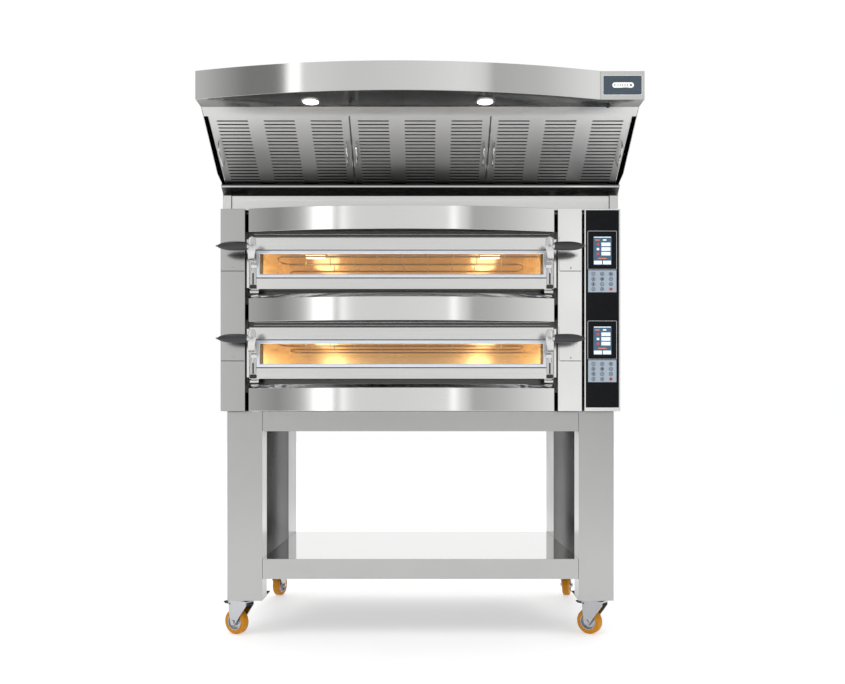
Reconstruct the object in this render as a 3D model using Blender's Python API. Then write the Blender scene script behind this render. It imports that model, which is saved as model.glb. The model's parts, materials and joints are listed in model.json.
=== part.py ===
"""Two-deck electric pizza oven on a wheeled stand, with an extraction hood.

Metres, +Z up, the front faces -Y. The design is worked out with X = 0 on the middle of the
casing, Y = 0 on the front of the corner covers and Z = 0 on the floor. At the end everything
is shifted so that the origin is the bottom centre of the whole object's box.
"""

from math import cos, pi, radians, sin

import bmesh
import bpy
from mathutils import Matrix, Vector

# ---------------------------------------------------------------- driving dimensions
GAP = 0.0003              # between pieces that touch
SHEET = 0.002             # folded steel sheet
ROUND = 24                # sides of a large round piece
SMALL_ROUND = 12          # sides of a small round piece
BOW_STEPS = 16            # straight runs along a bowed front

OVEN_WIDTH = 1.526
OVEN_DEPTH = 1.000        # corner cover front to the rear casing
STAND_HEIGHT = 0.882

SEAM_RISE = 0.088         # joint line of the corner covers above each sill
SEAM_WIDTH = 0.002
SEAM_DEPTH = 0.001

LEFT_COLUMN_WIDTH = 0.093
RIGHT_COLUMN_WIDTH = 0.091
COLUMN_RECESS = 0.014     # dark gap beside the fascias
CONTROL_WIDTH = 0.137
CONTROL_GAP = 0.010
CONTROL_WALL = 0.004
CONTROL_EDGE = 0.0055     # bright frame round the black glass
CONTROL_FOOT = 0.014      # bright frame under the black glass
CONTROL_SEAT = 0.003      # depth of the glass's seat
PLATE_THICKNESS = 0.0012
PLATE_LEFT = 0.012        # screen and keypad plate from the column's left side
PLATE_RIGHT = 0.014
PLATE_RISE = (0.004, 0.242)   # plate's lower and upper edge above the sill
FRAME_PLANE = 0.0745      # front of the chamber flanges

DECK_PITCH = 0.343
LOW_FASCIA_HEIGHT = 0.1027
SILL_RISE = 0.016         # sloping lip on top of a fascia
TOP_FASCIA_HEIGHT = 0.0885
FASCIA_BOW = 0.060

DOOR_HEIGHT = 0.196
DOOR_DEPTH = 0.066
DOOR_SKIN = 0.0035        # front wall of the hollow door
DOOR_FRONT = 0.004
DOOR_GAP = 0.021          # under a door
HEAD_GAP = 0.0215         # over a door
DOOR_END_GAP = 0.002
DOOR_STILE = 0.040
WINDOW_LOW = 0.057
WINDOW_HEIGHT = 0.077
WINDOW_REBATE = 0.010
GLASS_THICKNESS = 0.005
BEZEL_WIDTH = 0.014
GROOVE = 0.0025
HINGE_INSET = 0.010       # axis behind the door front
HINGE_DROP = 0.009        # axis under the door
KNUCKLE_RADIUS = 0.0075
KNUCKLE_LENGTH = 0.036
KNUCKLE_INSET = 0.001     # from the door's end
KNUCKLE_WEB = (0.004, 0.032)  # web's half thickness, and its far end along the knuckle
PANE_SEAT = 0.004         # depth of the window pane's front

LEVER_WIDTH = 0.030
LEVER_INSET = 0.0287      # lever's middle from the door's end
LEVER_LUG = 0.0015        # lug past the lever's edge
LEVER_THICKNESS = 0.005
LEVER_REACH = 0.094       # lever front ahead of the door
LEVER_PATH = (            # ahead of the door's face, below the grip's axis, width
    (0.0, 0.085, 0.018),
    (0.0, 0.061, 0.020),
    (0.010, 0.051, 0.020),
    (LEVER_REACH - 0.020, 0.040, 0.022),
    (LEVER_REACH - 0.004, 0.022, 0.027),
    (LEVER_REACH, 0.0, LEVER_WIDTH),
    (LEVER_REACH, -0.030, 0.026),
    (LEVER_REACH, -0.036, 0.012),
)
LEVER_FOOT_ROWS = 2       # first rows of the path, which lie against the door
LUG_RADIUS = 0.0085
GRIP_LENGTH = 0.1185
GRIP_RADIUS = 0.0170
GRIP_SHAPE = (            # share of the length, share of the radius
    (0.0, 0.62), (0.02, 0.84), (0.18, 0.94), (0.35, 1.0), (0.55, 0.95), (0.70, 0.83), (0.82, 0.66),
    (0.92, 0.45), (0.97, 0.32), (1.0, 0.22),
)
GRIP_SIDES = 16
GRIP_HEIGHT = 0.145       # grip axis above the door's lower edge

GLAND = ((0, -0.001), (0.018, -0.001), (0.018, 0.008), (0.012, 0.012), (0.012, 0.020), (0, 0.020))
GLAND_INSET = 0.120       # from the casing's right side
GLAND_RISE = 0.080

CHAMBER_WIDTH = 1.080
CHAMBER_DEPTH = 0.720
CHAMBER_HEIGHT = 0.150
CHAMBER_LIFT = 0.042      # chamber floor above the sill
FLANGE_BELOW = 0.030      # flange below the sill line
FLANGE_OVERLAP = 0.0165   # flange above the next fascia's lower edge
STONE_THICKNESS = 0.015
STONE_MARGIN = 0.005
ELEMENT_RADIUS = 0.0035
ELEMENT_DROP = 0.016      # element axis under the chamber roof
ELEMENT_RUNS = 4
ELEMENT_MARGIN = 0.060
ELEMENT_FRONT = 0.100     # first and last run from the chamber's front and back

HOOD_INSET = 0.003        # hood's cheek inside the casing's side
HOOD_FRONT = -0.391       # ends of the bowed front
HOOD_BOW = 0.089
HOOD_REAR = 0.550
HOOD_HEIGHT = 0.370
HOOD_SOFFIT_HEIGHT = 0.275
HOOD_FASCIA_HEIGHT = 0.097
HOOD_BOX_WIDTH = 0.1497
HOOD_BOX_REAR = -0.330
HOOD_WALL = 0.003
HOOD_PLATE = 0.003        # fascia ends and control plate ahead of the shell
HOOD_SPLASH = 0.026       # front of the splash panel
CHEEK = (                 # Y from the splash panel, height from the filters' foot
    (0.0, -0.050), (-0.008, -0.020), (-0.030, 0.008))
CHEEK_BULGE = (0.80, 0.016)   # share of the slope, and how far the cheek stands out of it there
HOOD_NOTCH = -0.052       # floor of the space behind the filters, from their foot
FILTER_CHAMBER = 0.200    # cheeks' hollow starts this far ahead of the shell's front
SOFFIT_REAR = -0.317
FILTER_FOOT = (-0.003, 0.089)   # Y, and height above the oven top, of the filters' lower edge
FILTER_COUNT = 3
FILTER_JOINT = 0.0012     # between two filters
FILTER_SIDE = 0.01525     # dark slot between a cheek's face and the outer filter
FILTER_THICKNESS = 0.010
FILTER_SHEET = 0.0015
FILTER_RAIL = 0.038       # sloping rail that covers the filters' upper edge
FILTER_LIFT = 0.018       # free height above the filters inside the rail
SLOT_ROWS = 20
SLOT_GROUPS = 3
SLOT_BRIDGE = 0.0561      # plain metal between two groups of slots
SLOT_HEIGHT = 0.005
SLOT_MARGIN = 0.022       # first row below the rail
SLOT_TAIL = 0.012         # last row above the lower edge
GUTTER_RIM = 0.004        # gutter's rear rim above the filters' visible foot
GUTTER_SEAT = 0.0005      # gutter ahead of the splash panel
GUTTER_LIP = 0.015        # lip ahead of the filters' foot
GUTTER_LIP_Z = (-0.010, -0.002)
GUTTER_FLOOR = -0.035
HANDLE_LENGTH = 0.103
HANDLE_REACH = 0.030
HANDLE_RADIUS = 0.003
HANDLE_INSET = 0.017
HANDLE_PLACE = 0.555      # middle of the handle, as a share of the slope
LAMP_RADIUS = 0.0335
LAMP_RING = 0.004         # ring's width round the hole
LAMP_HEIGHT = 0.040
LAMP_Y = -0.375
LAMP_SPACING = 0.593
DUCT_RADIUS = 0.100
DUCT_HEIGHT = 0.060
FAN_Y = 0.300
FAN_RADIUS = 0.120
FAN_HEIGHT = 0.060
FAN_BLADES = 10
MOTOR_RADIUS = 0.060
MOTOR_HEIGHT = 0.100
SHAFT_RADIUS = 0.006
MOTOR_SHOULDER = (0.012, 0.010)   # inwards and down from the motor's upper edge
FAN_CLEARANCE = 0.010     # impeller above the motor
FAN_HUB = (0.022, 0.020, 0.7)     # hub's lower and upper radius, and its share of the fan's height
BLADE_PLAN = (            # outer side, then inner side
    (0.045, -0.001), (0.085, 0.013), (FAN_RADIUS - 0.002, 0.034),
    (FAN_RADIUS - 0.003, 0.036), (0.084, 0.0148), (0.045, 0.001))
FLANGE_WIDTH = 0.025

LEG_WIDTH = 0.136
LEG_INSET = 0.013         # leg's outer side inside the casing's side
FRONT_LEG_Y = 0.057
FRONT_LEG_SIDE = 0.200
FRONT_LEG_LIP = 0.100
REAR_LEG_INSET = 0.015    # rear legs ahead of the rear casing
REAR_LEG_SIDE = 0.250
FOOT_PLATE = 0.005
BEAM_HEIGHT = 0.077
BEAM_FLANGE = 0.050
SHELF_TOP = 0.309
SHELF_LIP = 0.078
SHELF_INSET = 0.020       # shelf's rear edge ahead of the rear legs' faces
BEAM_SET_BACK = 0.003     # beams behind the leg fronts

WHEEL_RADIUS = 0.050
TYRE_WIDTH = 0.034
CASTER_TRAIL = 0.035      # wheel axle behind the swivel axis
CASTER_SIDE_INSET = 0.050 # swivel axis inside the leg's outer side
FRONT_CASTER_INSET = 0.068
REAR_CASTER_INSET = 0.060
CROWN_CLEARANCE = 0.030   # crown above the tyre
CROWN_THICKNESS = 0.0065
NECK_HEIGHT = 0.0105
ARM_THICKNESS = 0.004
ARM_CLEARANCE = 0.0035
AXLE_RADIUS = 0.0050
AXLE_CLEARANCE = 0.0006
FORK_FRONT = -0.032       # along the trail from the swivel axis
FORK_REACH = 0.023        # past the wheel's axle
FORK_SHOULDER = 0.010     # arm's front edge under the crown
FORK_HEEL = 0.045         # arm's rear edge above the axle
BOSS_RADIUS = 0.013
NECK_RADIUS = 0.019
BOLT_RADIUS = 0.008
BOLT_HEAD = 0.005
SINK = 0.001              # overlap of joined pieces
RIM_SHARE = 0.74          # rim radius as a share of the wheel's
HUB_RADIUS = 0.013
HUB_PROUD = 0.002
WEB_HALF = 0.005
TYRE_EDGE = (0.004, 0.006)
PEDAL_PIN_RADIUS = 0.003
PEDAL_PIN_INSET = 0.008   # ahead of the crown's rear edge
PEDAL_PIN_RISE = 0.022    # above the tyre
PEDAL_SIDE_GAP = 0.0015
SHOE_GAP = 0.0005
PEDAL_PLATE = (           # along the trail and height, from the pin
    (0.006, -0.004), (0.030, -0.002), (0.038, 0.004), (0.037, 0.0065), (0.029, 0.0015), (0.006, 0.003))
PEDAL_SHOE = ((-0.0045, 0.002), (-0.0045, -0.004))

# ---------------------------------------------------------------- places worked out from them
HALF = OVEN_WIDTH / 2
LEG_OUTER_X = HALF - LEG_INSET
REAR_LEG_Y = OVEN_DEPTH - REAR_LEG_INSET
SHELF_REAR = REAR_LEG_Y - SHELF_INSET
LEG_FOOT = 2 * WHEEL_RADIUS + CROWN_CLEARANCE + CROWN_THICKNESS + NECK_HEIGHT
CASTER_X = LEG_OUTER_X - CASTER_SIDE_INSET
FRONT_CASTER_Y = FRONT_LEG_Y + FRONT_CASTER_INSET
REAR_CASTER_Y = REAR_LEG_Y - REAR_CASTER_INSET
CASTERS = (  # name, X, Y, heading of the trailing wheel in degrees
    ("front_left", -CASTER_X, FRONT_CASTER_Y, 150),
    ("front_right", CASTER_X, FRONT_CASTER_Y, 141),
    ("rear_left", -CASTER_X, REAR_CASTER_Y, 73),
    ("rear_right", CASTER_X, REAR_CASTER_Y, 73),
)
BODY_LOW = STAND_HEIGHT + GAP
SILL = (BODY_LOW + LOW_FASCIA_HEIGHT, BODY_LOW + LOW_FASCIA_HEIGHT + DECK_PITCH)
DOOR_LOW = tuple(sill + DOOR_GAP for sill in SILL)
DOOR_TOP = tuple(low + DOOR_HEIGHT for low in DOOR_LOW)
OVEN_TOP = DOOR_TOP[1] + HEAD_GAP + TOP_FASCIA_HEIGHT
CONTROL_LEFT = HALF - CONTROL_WIDTH
RIGHT_COLUMN = (CONTROL_LEFT - CONTROL_GAP - RIGHT_COLUMN_WIDTH, CONTROL_LEFT - CONTROL_GAP)
FASCIA_LEFT = -HALF + LEFT_COLUMN_WIDTH + COLUMN_RECESS
FASCIA_RIGHT = RIGHT_COLUMN[0] - COLUMN_RECESS
DECK_X = (FASCIA_LEFT + FASCIA_RIGHT) / 2
DOOR_LEFT = FASCIA_LEFT + DOOR_END_GAP
DOOR_RIGHT = FASCIA_RIGHT - DOOR_END_GAP
HINGE_Y = DOOR_FRONT + HINGE_INSET
CASING_FRONT = FRAME_PLANE + SHEET + GAP
HOOD_HALF = HALF - HOOD_INSET
HOOD_SHELL_FRONT = HOOD_FRONT + HOOD_PLATE
HOOD_FASCIA_END = HOOD_HALF - HOOD_BOX_WIDTH - GAP
HOOD_FASCIA_MIDDLE = (HOOD_FASCIA_END - HOOD_HALF) / 2
LAMP_X = (HOOD_FASCIA_MIDDLE - LAMP_SPACING / 2, HOOD_FASCIA_MIDDLE + LAMP_SPACING / 2)
FILTER_PITCH = 2 * (HOOD_HALF - FILTER_SIDE) / FILTER_COUNT
FILTER_WIDTH = FILTER_PITCH - FILTER_JOINT
HOOD_LOW = OVEN_TOP + GAP
HOOD_TOP = HOOD_LOW + HOOD_HEIGHT
SOFFIT = HOOD_LOW + HOOD_SOFFIT_HEIGHT
FILTER_TOP_POINT = Vector((0, SOFFIT_REAR, SOFFIT))
FILTER_LOW_POINT = Vector((0, FILTER_FOOT[0], HOOD_LOW + FILTER_FOOT[1]))
SLOPE = (FILTER_LOW_POINT - FILTER_TOP_POINT).normalized()
SLOPE_LENGTH = (FILTER_LOW_POINT - FILTER_TOP_POINT).length
OUTWARD = Vector((0, SLOPE.z, -SLOPE.y))


# ---------------------------------------------------------------- materials
def material(name, colour, roughness, metallic=0.0, alpha=1.0):
    """A plain Principled finish."""
    made = bpy.data.materials.new(name)
    made.use_nodes = True
    shader = made.node_tree.nodes["Principled BSDF"]
    shader.inputs["Base Color"].default_value = (*colour, 1.0)
    shader.inputs["Roughness"].default_value = roughness
    shader.inputs["Metallic"].default_value = metallic
    shader.inputs["Alpha"].default_value = alpha
    return made


for old in list(bpy.data.objects):
    bpy.data.objects.remove(old, do_unlink=True)

BRUSHED = material("brushed_steel", (0.66, 0.66, 0.65), 0.32, 1.0)
SATIN = material("stand_steel", (0.62, 0.62, 0.61), 0.42, 1.0)
POLISHED = material("shelf_steel", (0.86, 0.86, 0.86), 0.12, 1.0)
CHROME = material("lever_chrome", (0.80, 0.80, 0.80), 0.10, 1.0)
CHAMBER = material("chamber_steel", (0.60, 0.46, 0.27), 0.38, 1.0)
STONE = material("baking_stone", (0.66, 0.50, 0.33), 0.90)
ELEMENT = material("element_sheath", (0.36, 0.33, 0.31), 0.45, 0.8)
WINDOW = material("window_glass", (0.95, 0.80, 0.55), 0.05, 0.0, 0.35)
GRIP = material("grip_black", (0.035, 0.035, 0.037), 0.45)
BLACK_GLASS = material("control_glass", (0.010, 0.011, 0.013), 0.08)
PANEL = material("control_panel", (0.46, 0.50, 0.55), 0.40)
ZINC = material("caster_zinc", (0.74, 0.75, 0.77), 0.28, 1.0)
AMBER = material("wheel_amber", (0.72, 0.33, 0.02), 0.40)
MOTOR = material("motor_black", (0.06, 0.06, 0.065), 0.50)
LENS = material("lamp_lens", (0.96, 0.96, 0.94), 0.20)

ROOT = bpy.data.objects.new("assembly", None)
bpy.context.collection.objects.link(ROOT)


# ---------------------------------------------------------------- making solids
def place(name, mesh, finish, parent=ROOT, at=(0, 0, 0), turn=(0, 0, 0)):
    """Link a mesh as a named object with its finish and its parent."""
    item = bpy.data.objects.new(name, mesh)
    bpy.context.collection.objects.link(item)
    item.location = at
    item.rotation_euler = turn
    item.parent = parent
    if finish is not None and not mesh.materials:
        mesh.materials.append(finish)
    return item


def pivot(name, at, turn=(0, 0, 0), parent=ROOT):
    """An empty on a joint's axis."""
    item = bpy.data.objects.new(name, None)
    bpy.context.collection.objects.link(item)
    item.location = at
    item.rotation_euler = turn
    item.parent = parent
    return item


def loft(loops, closed=False, name="solid"):
    """Skin equal loops of points one after another; the ends are capped unless closed."""
    shape = bmesh.new()
    rings = [[shape.verts.new(point) for point in loop] for loop in loops]
    count = len(rings[0])
    pairs = list(zip(rings, rings[1:]))
    if closed:
        pairs.append((rings[-1], rings[0]))
    for low, high in pairs:
        for i in range(count):
            j = (i + 1) % count
            shape.faces.new((low[i], low[j], high[j], high[i]))
    if not closed:
        shape.faces.new(rings[0])
        shape.faces.new(rings[-1])
    bmesh.ops.recalc_face_normals(shape, faces=shape.faces)
    mesh = bpy.data.meshes.new(name)
    shape.to_mesh(mesh)
    shape.free()
    return mesh


def lay(point, axis, along):
    """A flat outline's point as a 3-D point, with the third coordinate on the axis."""
    a, b = point
    return {"X": (along, a, b), "Y": (a, along, b), "Z": (a, b, along)}[axis]


def prism(outline, axis, low, high):
    """A flat outline, in the two other coordinates in X, Y, Z order, extruded along an axis."""
    return loft([[lay(point, axis, along) for point in outline] for along in (low, high)])


def block(x, y, z):
    """A box from its low and high X, Y and Z."""
    return prism(((x[0], y[0]), (x[1], y[0]), (x[1], y[1]), (x[0], y[1])), "Z", *z)


def turned(profile, axis="Z", steps=ROUND, at=(0, 0, 0)):
    """A ring or a solid turned from (radius, height) points; a radius of 0 closes on the axis."""
    shape = bmesh.new()
    verts = [shape.verts.new((radius, 0, height)) for radius, height in profile]
    ends_on_axis = profile[0][0] == 0 and profile[-1][0] == 0
    count = len(verts)
    edges = [shape.edges.new((verts[i], verts[i + 1])) for i in range(count - 1)]
    if not ends_on_axis:
        edges.append(shape.edges.new((verts[-1], verts[0])))
    bmesh.ops.spin(shape, geom=verts + edges, cent=(0, 0, 0), axis=(0, 0, 1), angle=2 * pi,
                   steps=steps, use_merge=True, use_duplicate=False)
    bmesh.ops.remove_doubles(shape, verts=shape.verts, dist=1e-6)
    bmesh.ops.recalc_face_normals(shape, faces=shape.faces)
    if axis == "X":
        bmesh.ops.rotate(shape, verts=shape.verts, matrix=Matrix.Rotation(pi / 2, 3, "Y"))
    if axis == "Y":
        bmesh.ops.rotate(shape, verts=shape.verts, matrix=Matrix.Rotation(-pi / 2, 3, "X"))
    bmesh.ops.translate(shape, verts=shape.verts, vec=at)
    mesh = bpy.data.meshes.new("turned")
    shape.to_mesh(mesh)
    shape.free()
    mesh.shade_smooth()
    mesh.set_sharp_from_angle(angle=radians(35))
    return mesh


def tube(path, radius, sides):
    """A round bar along a path of points, its ring square to the path."""
    loops = []
    count = len(path)
    side = None
    for i in range(count):
        ahead = path[min(i + 1, count - 1)] - path[max(i - 1, 0)]
        ahead.normalize()
        if side is None:
            side = ahead.orthogonal().normalized()
        side = (side - ahead * side.dot(ahead)).normalized()
        other = ahead.cross(side)
        angles = [2 * pi * k / sides for k in range(sides)]
        loops.append([path[i] + radius * (side * cos(a) + other * sin(a)) for a in angles])
    return loft(loops)


def helper(target, mesh, operation, parent=None):
    """Cut a target with a mesh, or join the mesh to it, by a live Boolean."""
    tool = place(target.name + "_tool", mesh, None, parent or target.parent)
    tool.hide_render = True
    tool.display_type = "WIRE"
    change = target.modifiers.new(operation.lower(), "BOOLEAN")
    change.operation = operation
    change.object = tool
    return tool


def cut(target, *meshes):
    for mesh in meshes:
        helper(target, mesh, "DIFFERENCE")


def join(target, *meshes):
    for mesh in meshes:
        helper(target, mesh, "UNION")


def bow(left, right, end_y, rise, inset=0.0):
    """Points of a bowed front from left to right: a parabola that rises towards -Y."""
    middle = (left + right) / 2
    reach = (right - left) / 2
    points = []
    for i in range(BOW_STEPS + 1):
        x = left + inset + (right - left - 2 * inset) * i / BOW_STEPS
        share = (x - middle) / reach
        points.append((x, end_y - rise * (1 - share * share) + inset))
    return points


def bowed_outline(left, right, end_y, rise, back, inset=0.0, set_back=0.0):
    """A closed plan outline: bowed front, straight back."""
    front = [(x, y + set_back) for x, y in bow(left, right, end_y, rise, inset)]
    return [*front, (right - inset, back), (left + inset, back)]


# ---------------------------------------------------------------- stand
def make_leg(name, side, front):
    """A folded leg: the face, an outer side and an inner lip, with a foot plate for the caster."""
    outer = side * LEG_OUTER_X
    inner = side * (LEG_OUTER_X - LEG_WIDTH)
    face, way = (FRONT_LEG_Y, 1) if front else (REAR_LEG_Y, -1)
    outer_depth = FRONT_LEG_SIDE if front else REAR_LEG_SIDE
    inner_depth = FRONT_LEG_LIP if front else REAR_LEG_SIDE
    skin = side * SHEET
    outline = (
        (outer, face + way * outer_depth), (outer, face), (inner, face),
        (inner, face + way * inner_depth), (inner + skin, face + way * inner_depth),
        (inner + skin, face + way * SHEET), (outer - skin, face + way * SHEET),
        (outer - skin, face + way * outer_depth),
    )
    leg = place(name, prism(outline, "Z", LEG_FOOT, STAND_HEIGHT), SATIN)
    reach = face + way * (outer_depth - 0.010)
    plate_x = sorted((outer - skin / 2, inner + skin / 2))
    plate_y = sorted((face + way * SHEET / 2, reach))
    join(leg, block(plate_x, plate_y, (LEG_FOOT, LEG_FOOT + FOOT_PLATE)))
    return leg


def make_stand():
    for name, side, front in (("leg_front_left", -1, True), ("leg_front_right", 1, True),
                              ("leg_rear_left", -1, False), ("leg_rear_right", 1, False)):
        make_leg(name, side, front)
    half = LEG_OUTER_X - LEG_WIDTH - GAP
    front = FRONT_LEG_Y + BEAM_SET_BACK
    rear = REAR_LEG_Y - BEAM_SET_BACK
    low = STAND_HEIGHT - BEAM_HEIGHT
    frame = place("top_frame", block((-half, half), (front, rear), (low, STAND_HEIGHT)), SATIN)
    wall = half - SHEET
    cut(frame, block((-wall, wall), (front + SHEET, rear - SHEET), (low - 0.01, STAND_HEIGHT - SHEET)))
    flange = half - BEAM_FLANGE
    hole_y = (front + BEAM_FLANGE, rear - BEAM_FLANGE)
    cut(frame, block((-flange, flange), hole_y, (low, STAND_HEIGHT + 0.01)))
    shelf_low = SHELF_TOP - SHELF_LIP
    shelf = place("shelf", block((-half, half), (front, SHELF_REAR), (shelf_low, SHELF_TOP)), POLISHED)
    under = (shelf_low - 0.01, SHELF_TOP - SHEET)
    cut(shelf, block((-wall, wall), (front + SHEET, SHELF_REAR - SHEET), under))


# ---------------------------------------------------------------- casters
def make_caster(name, x, y, heading):
    """Local +X trails from the swivel axis to the wheel, and local Y is the axle."""
    swivel = pivot("swivel_" + name, (x, y, 0), (0, 0, radians(heading)))
    arm_in = TYRE_WIDTH / 2 + ARM_CLEARANCE
    arm_out = arm_in + ARM_THICKNESS
    crown_low = 2 * WHEEL_RADIUS + CROWN_CLEARANCE
    crown_top = crown_low + CROWN_THICKNESS
    front, back = FORK_FRONT, CASTER_TRAIL + FORK_REACH
    crown = block((front, back), (-arm_out, arm_out), (crown_low, crown_top))
    fork = place("caster_fork_" + name, crown, ZINC, swivel)
    arc = []
    for i in range(7):
        angle = radians(-150 + 25 * i)
        arc.append((CASTER_TRAIL + BOSS_RADIUS * cos(angle), WHEEL_RADIUS + BOSS_RADIUS * sin(angle)))
    outline = [(front, crown_top - SINK), (front, crown_low - FORK_SHOULDER), *arc,
               (back - 3 * SINK, WHEEL_RADIUS + FORK_HEEL), (back, crown_top - SINK)]
    for low, high in ((-arm_out, -arm_in), (arm_in, arm_out)):
        join(fork, prism(outline, "Y", low, high))
    neck_top = LEG_FOOT - GAP
    neck = ((0, crown_top - SINK), (NECK_RADIUS, crown_top - SINK), (NECK_RADIUS, neck_top), (0, neck_top))
    join(fork, turned(neck, steps=SMALL_ROUND))
    head = arm_out + BOLT_HEAD
    seat = arm_out - SINK
    axle = ((0, -head), (BOLT_RADIUS, -head), (BOLT_RADIUS, -seat), (AXLE_RADIUS, -seat),
            (AXLE_RADIUS, seat), (BOLT_RADIUS, seat), (BOLT_RADIUS, head), (0, head))
    join(fork, turned(axle, "Y", SMALL_ROUND, (CASTER_TRAIL, 0, WHEEL_RADIUS)))

    hub = pivot("axle_" + name, (CASTER_TRAIL, 0, WHEEL_RADIUS), parent=swivel)
    bore = AXLE_RADIUS + AXLE_CLEARANCE
    tyre = TYRE_WIDTH / 2
    rim = WHEEL_RADIUS * RIM_SHARE
    edge, crown = TYRE_EDGE
    half = ((bore, tyre + HUB_PROUD), (HUB_RADIUS, tyre + HUB_PROUD), (HUB_RADIUS + 0.002, WEB_HALF),
            (rim - edge, WEB_HALF), (rim, tyre - SINK), (WHEEL_RADIUS - edge, tyre),
            (WHEEL_RADIUS, tyre - crown))
    profile = [*half, *[(radius, -height) for radius, height in reversed(half)]]
    place("caster_wheel_" + name, turned(profile, "Y"), AMBER, hub)
    if name.startswith("front"):
        make_brake(name, swivel, fork, arm_in, arm_out, back)


def make_brake(name, swivel, fork, arm_in, arm_out, back):
    """A foot pedal on a pin through both arms, with a shoe just above the tyre."""
    pin_x = back - PEDAL_PIN_INSET
    pin_z = 2 * WHEEL_RADIUS + PEDAL_PIN_RISE
    hinge = pivot("pedal_axis_" + name, (pin_x, 0, pin_z), parent=swivel)
    hole = PEDAL_PIN_RADIUS + AXLE_CLEARANCE
    past = arm_out + BOLT_HEAD
    bore = ((0, -past), (hole, -past), (hole, past), (0, past))
    cut(fork, turned(bore, "Y", SMALL_ROUND, (pin_x, 0, pin_z)))
    side = "left" if name.endswith("left") else "right"
    wide = arm_in - PEDAL_SIDE_GAP
    shoe_low = -PEDAL_PIN_RISE + SHOE_GAP
    outline = (*PEDAL_SHOE, (-0.002, shoe_low), (0.004, shoe_low), *PEDAL_PLATE)
    pedal = place("brake_pedal_" + side, prism(outline, "Y", -wide, wide), ZINC, hinge)
    end = arm_out - SINK / 2
    pin = ((0, -end), (PEDAL_PIN_RADIUS, -end), (PEDAL_PIN_RADIUS, end), (0, end))
    join(pedal, turned(pin, "Y", SMALL_ROUND))


# ---------------------------------------------------------------- oven body
def make_casing():
    rear = OVEN_DEPTH
    for name, side in (("side_panel_left", -1), ("side_panel_right", 1)):
        x = sorted((side * HALF, side * (HALF - SHEET)))
        place(name, block(x, (CASING_FRONT, rear), (BODY_LOW, OVEN_TOP)), BRUSHED)
    inner = HALF - SHEET - GAP
    base = block((-inner, inner), (CASING_FRONT, rear - SHEET - GAP), (BODY_LOW, BODY_LOW + SHEET))
    place("base_pan", base, BRUSHED)
    outline = ((CASING_FRONT, OVEN_TOP), (rear, OVEN_TOP), (rear, BODY_LOW), (rear - SHEET, BODY_LOW),
               (rear - SHEET, OVEN_TOP - SHEET), (CASING_FRONT, OVEN_TOP - SHEET))
    cover = place("casing_cover", prism(outline, "X", -inner, inner), BRUSHED)
    join(cover, turned(GLAND, "Y", SMALL_ROUND, (HALF - GLAND_INSET, rear, BODY_LOW + GLAND_RISE)))


def make_column(name, x):
    """A channel cover with a joint line scored at each deck."""
    wall = SHEET
    outline = ((x[0], 0), (x[1], 0), (x[1], FRAME_PLANE + SHEET), (x[1] - wall, FRAME_PLANE + SHEET),
               (x[1] - wall, wall), (x[0] + wall, wall), (x[0] + wall, FRAME_PLANE + SHEET),
               (x[0], FRAME_PLANE + SHEET))
    column = place(name, prism(outline, "Z", BODY_LOW, OVEN_TOP), BRUSHED)
    for sill in SILL:
        seam = sill + SEAM_RISE
        cut(column, block((x[0] - 0.01, x[1] + 0.01), (-0.01, SEAM_DEPTH), (seam, seam + SEAM_WIDTH)))


def make_fascia(name, low, high, lip):
    """A bowed panel, open at the back, with a sloping lip along its upper edge."""
    back = FRAME_PLANE - GAP
    plan = (FASCIA_LEFT, FASCIA_RIGHT, 0.0, FASCIA_BOW, back)
    levels = [(low, 0.0), (high, 0.0)]
    if lip:
        levels = [(low, 0.0), (high - lip, 0.0), (high, lip)]
    loops = [[(x, y, z) for x, y in bowed_outline(*plan, set_back=set_back)] for z, set_back in levels]
    fascia = place(name, loft(loops), BRUSHED)
    hollow = (FASCIA_LEFT, FASCIA_RIGHT, 0.0, FASCIA_BOW, back + 0.01)
    inner = [(levels[0][0] + SHEET, 0.0), (levels[-1][0] - SHEET, lip)]
    if lip:
        inner.insert(1, (high - lip - SHEET, 0.0))
    loops = [[(x, y, z) for x, y in bowed_outline(*hollow, inset=SHEET, set_back=set_back)]
             for z, set_back in inner]
    cut(fascia, loft(loops))


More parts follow.
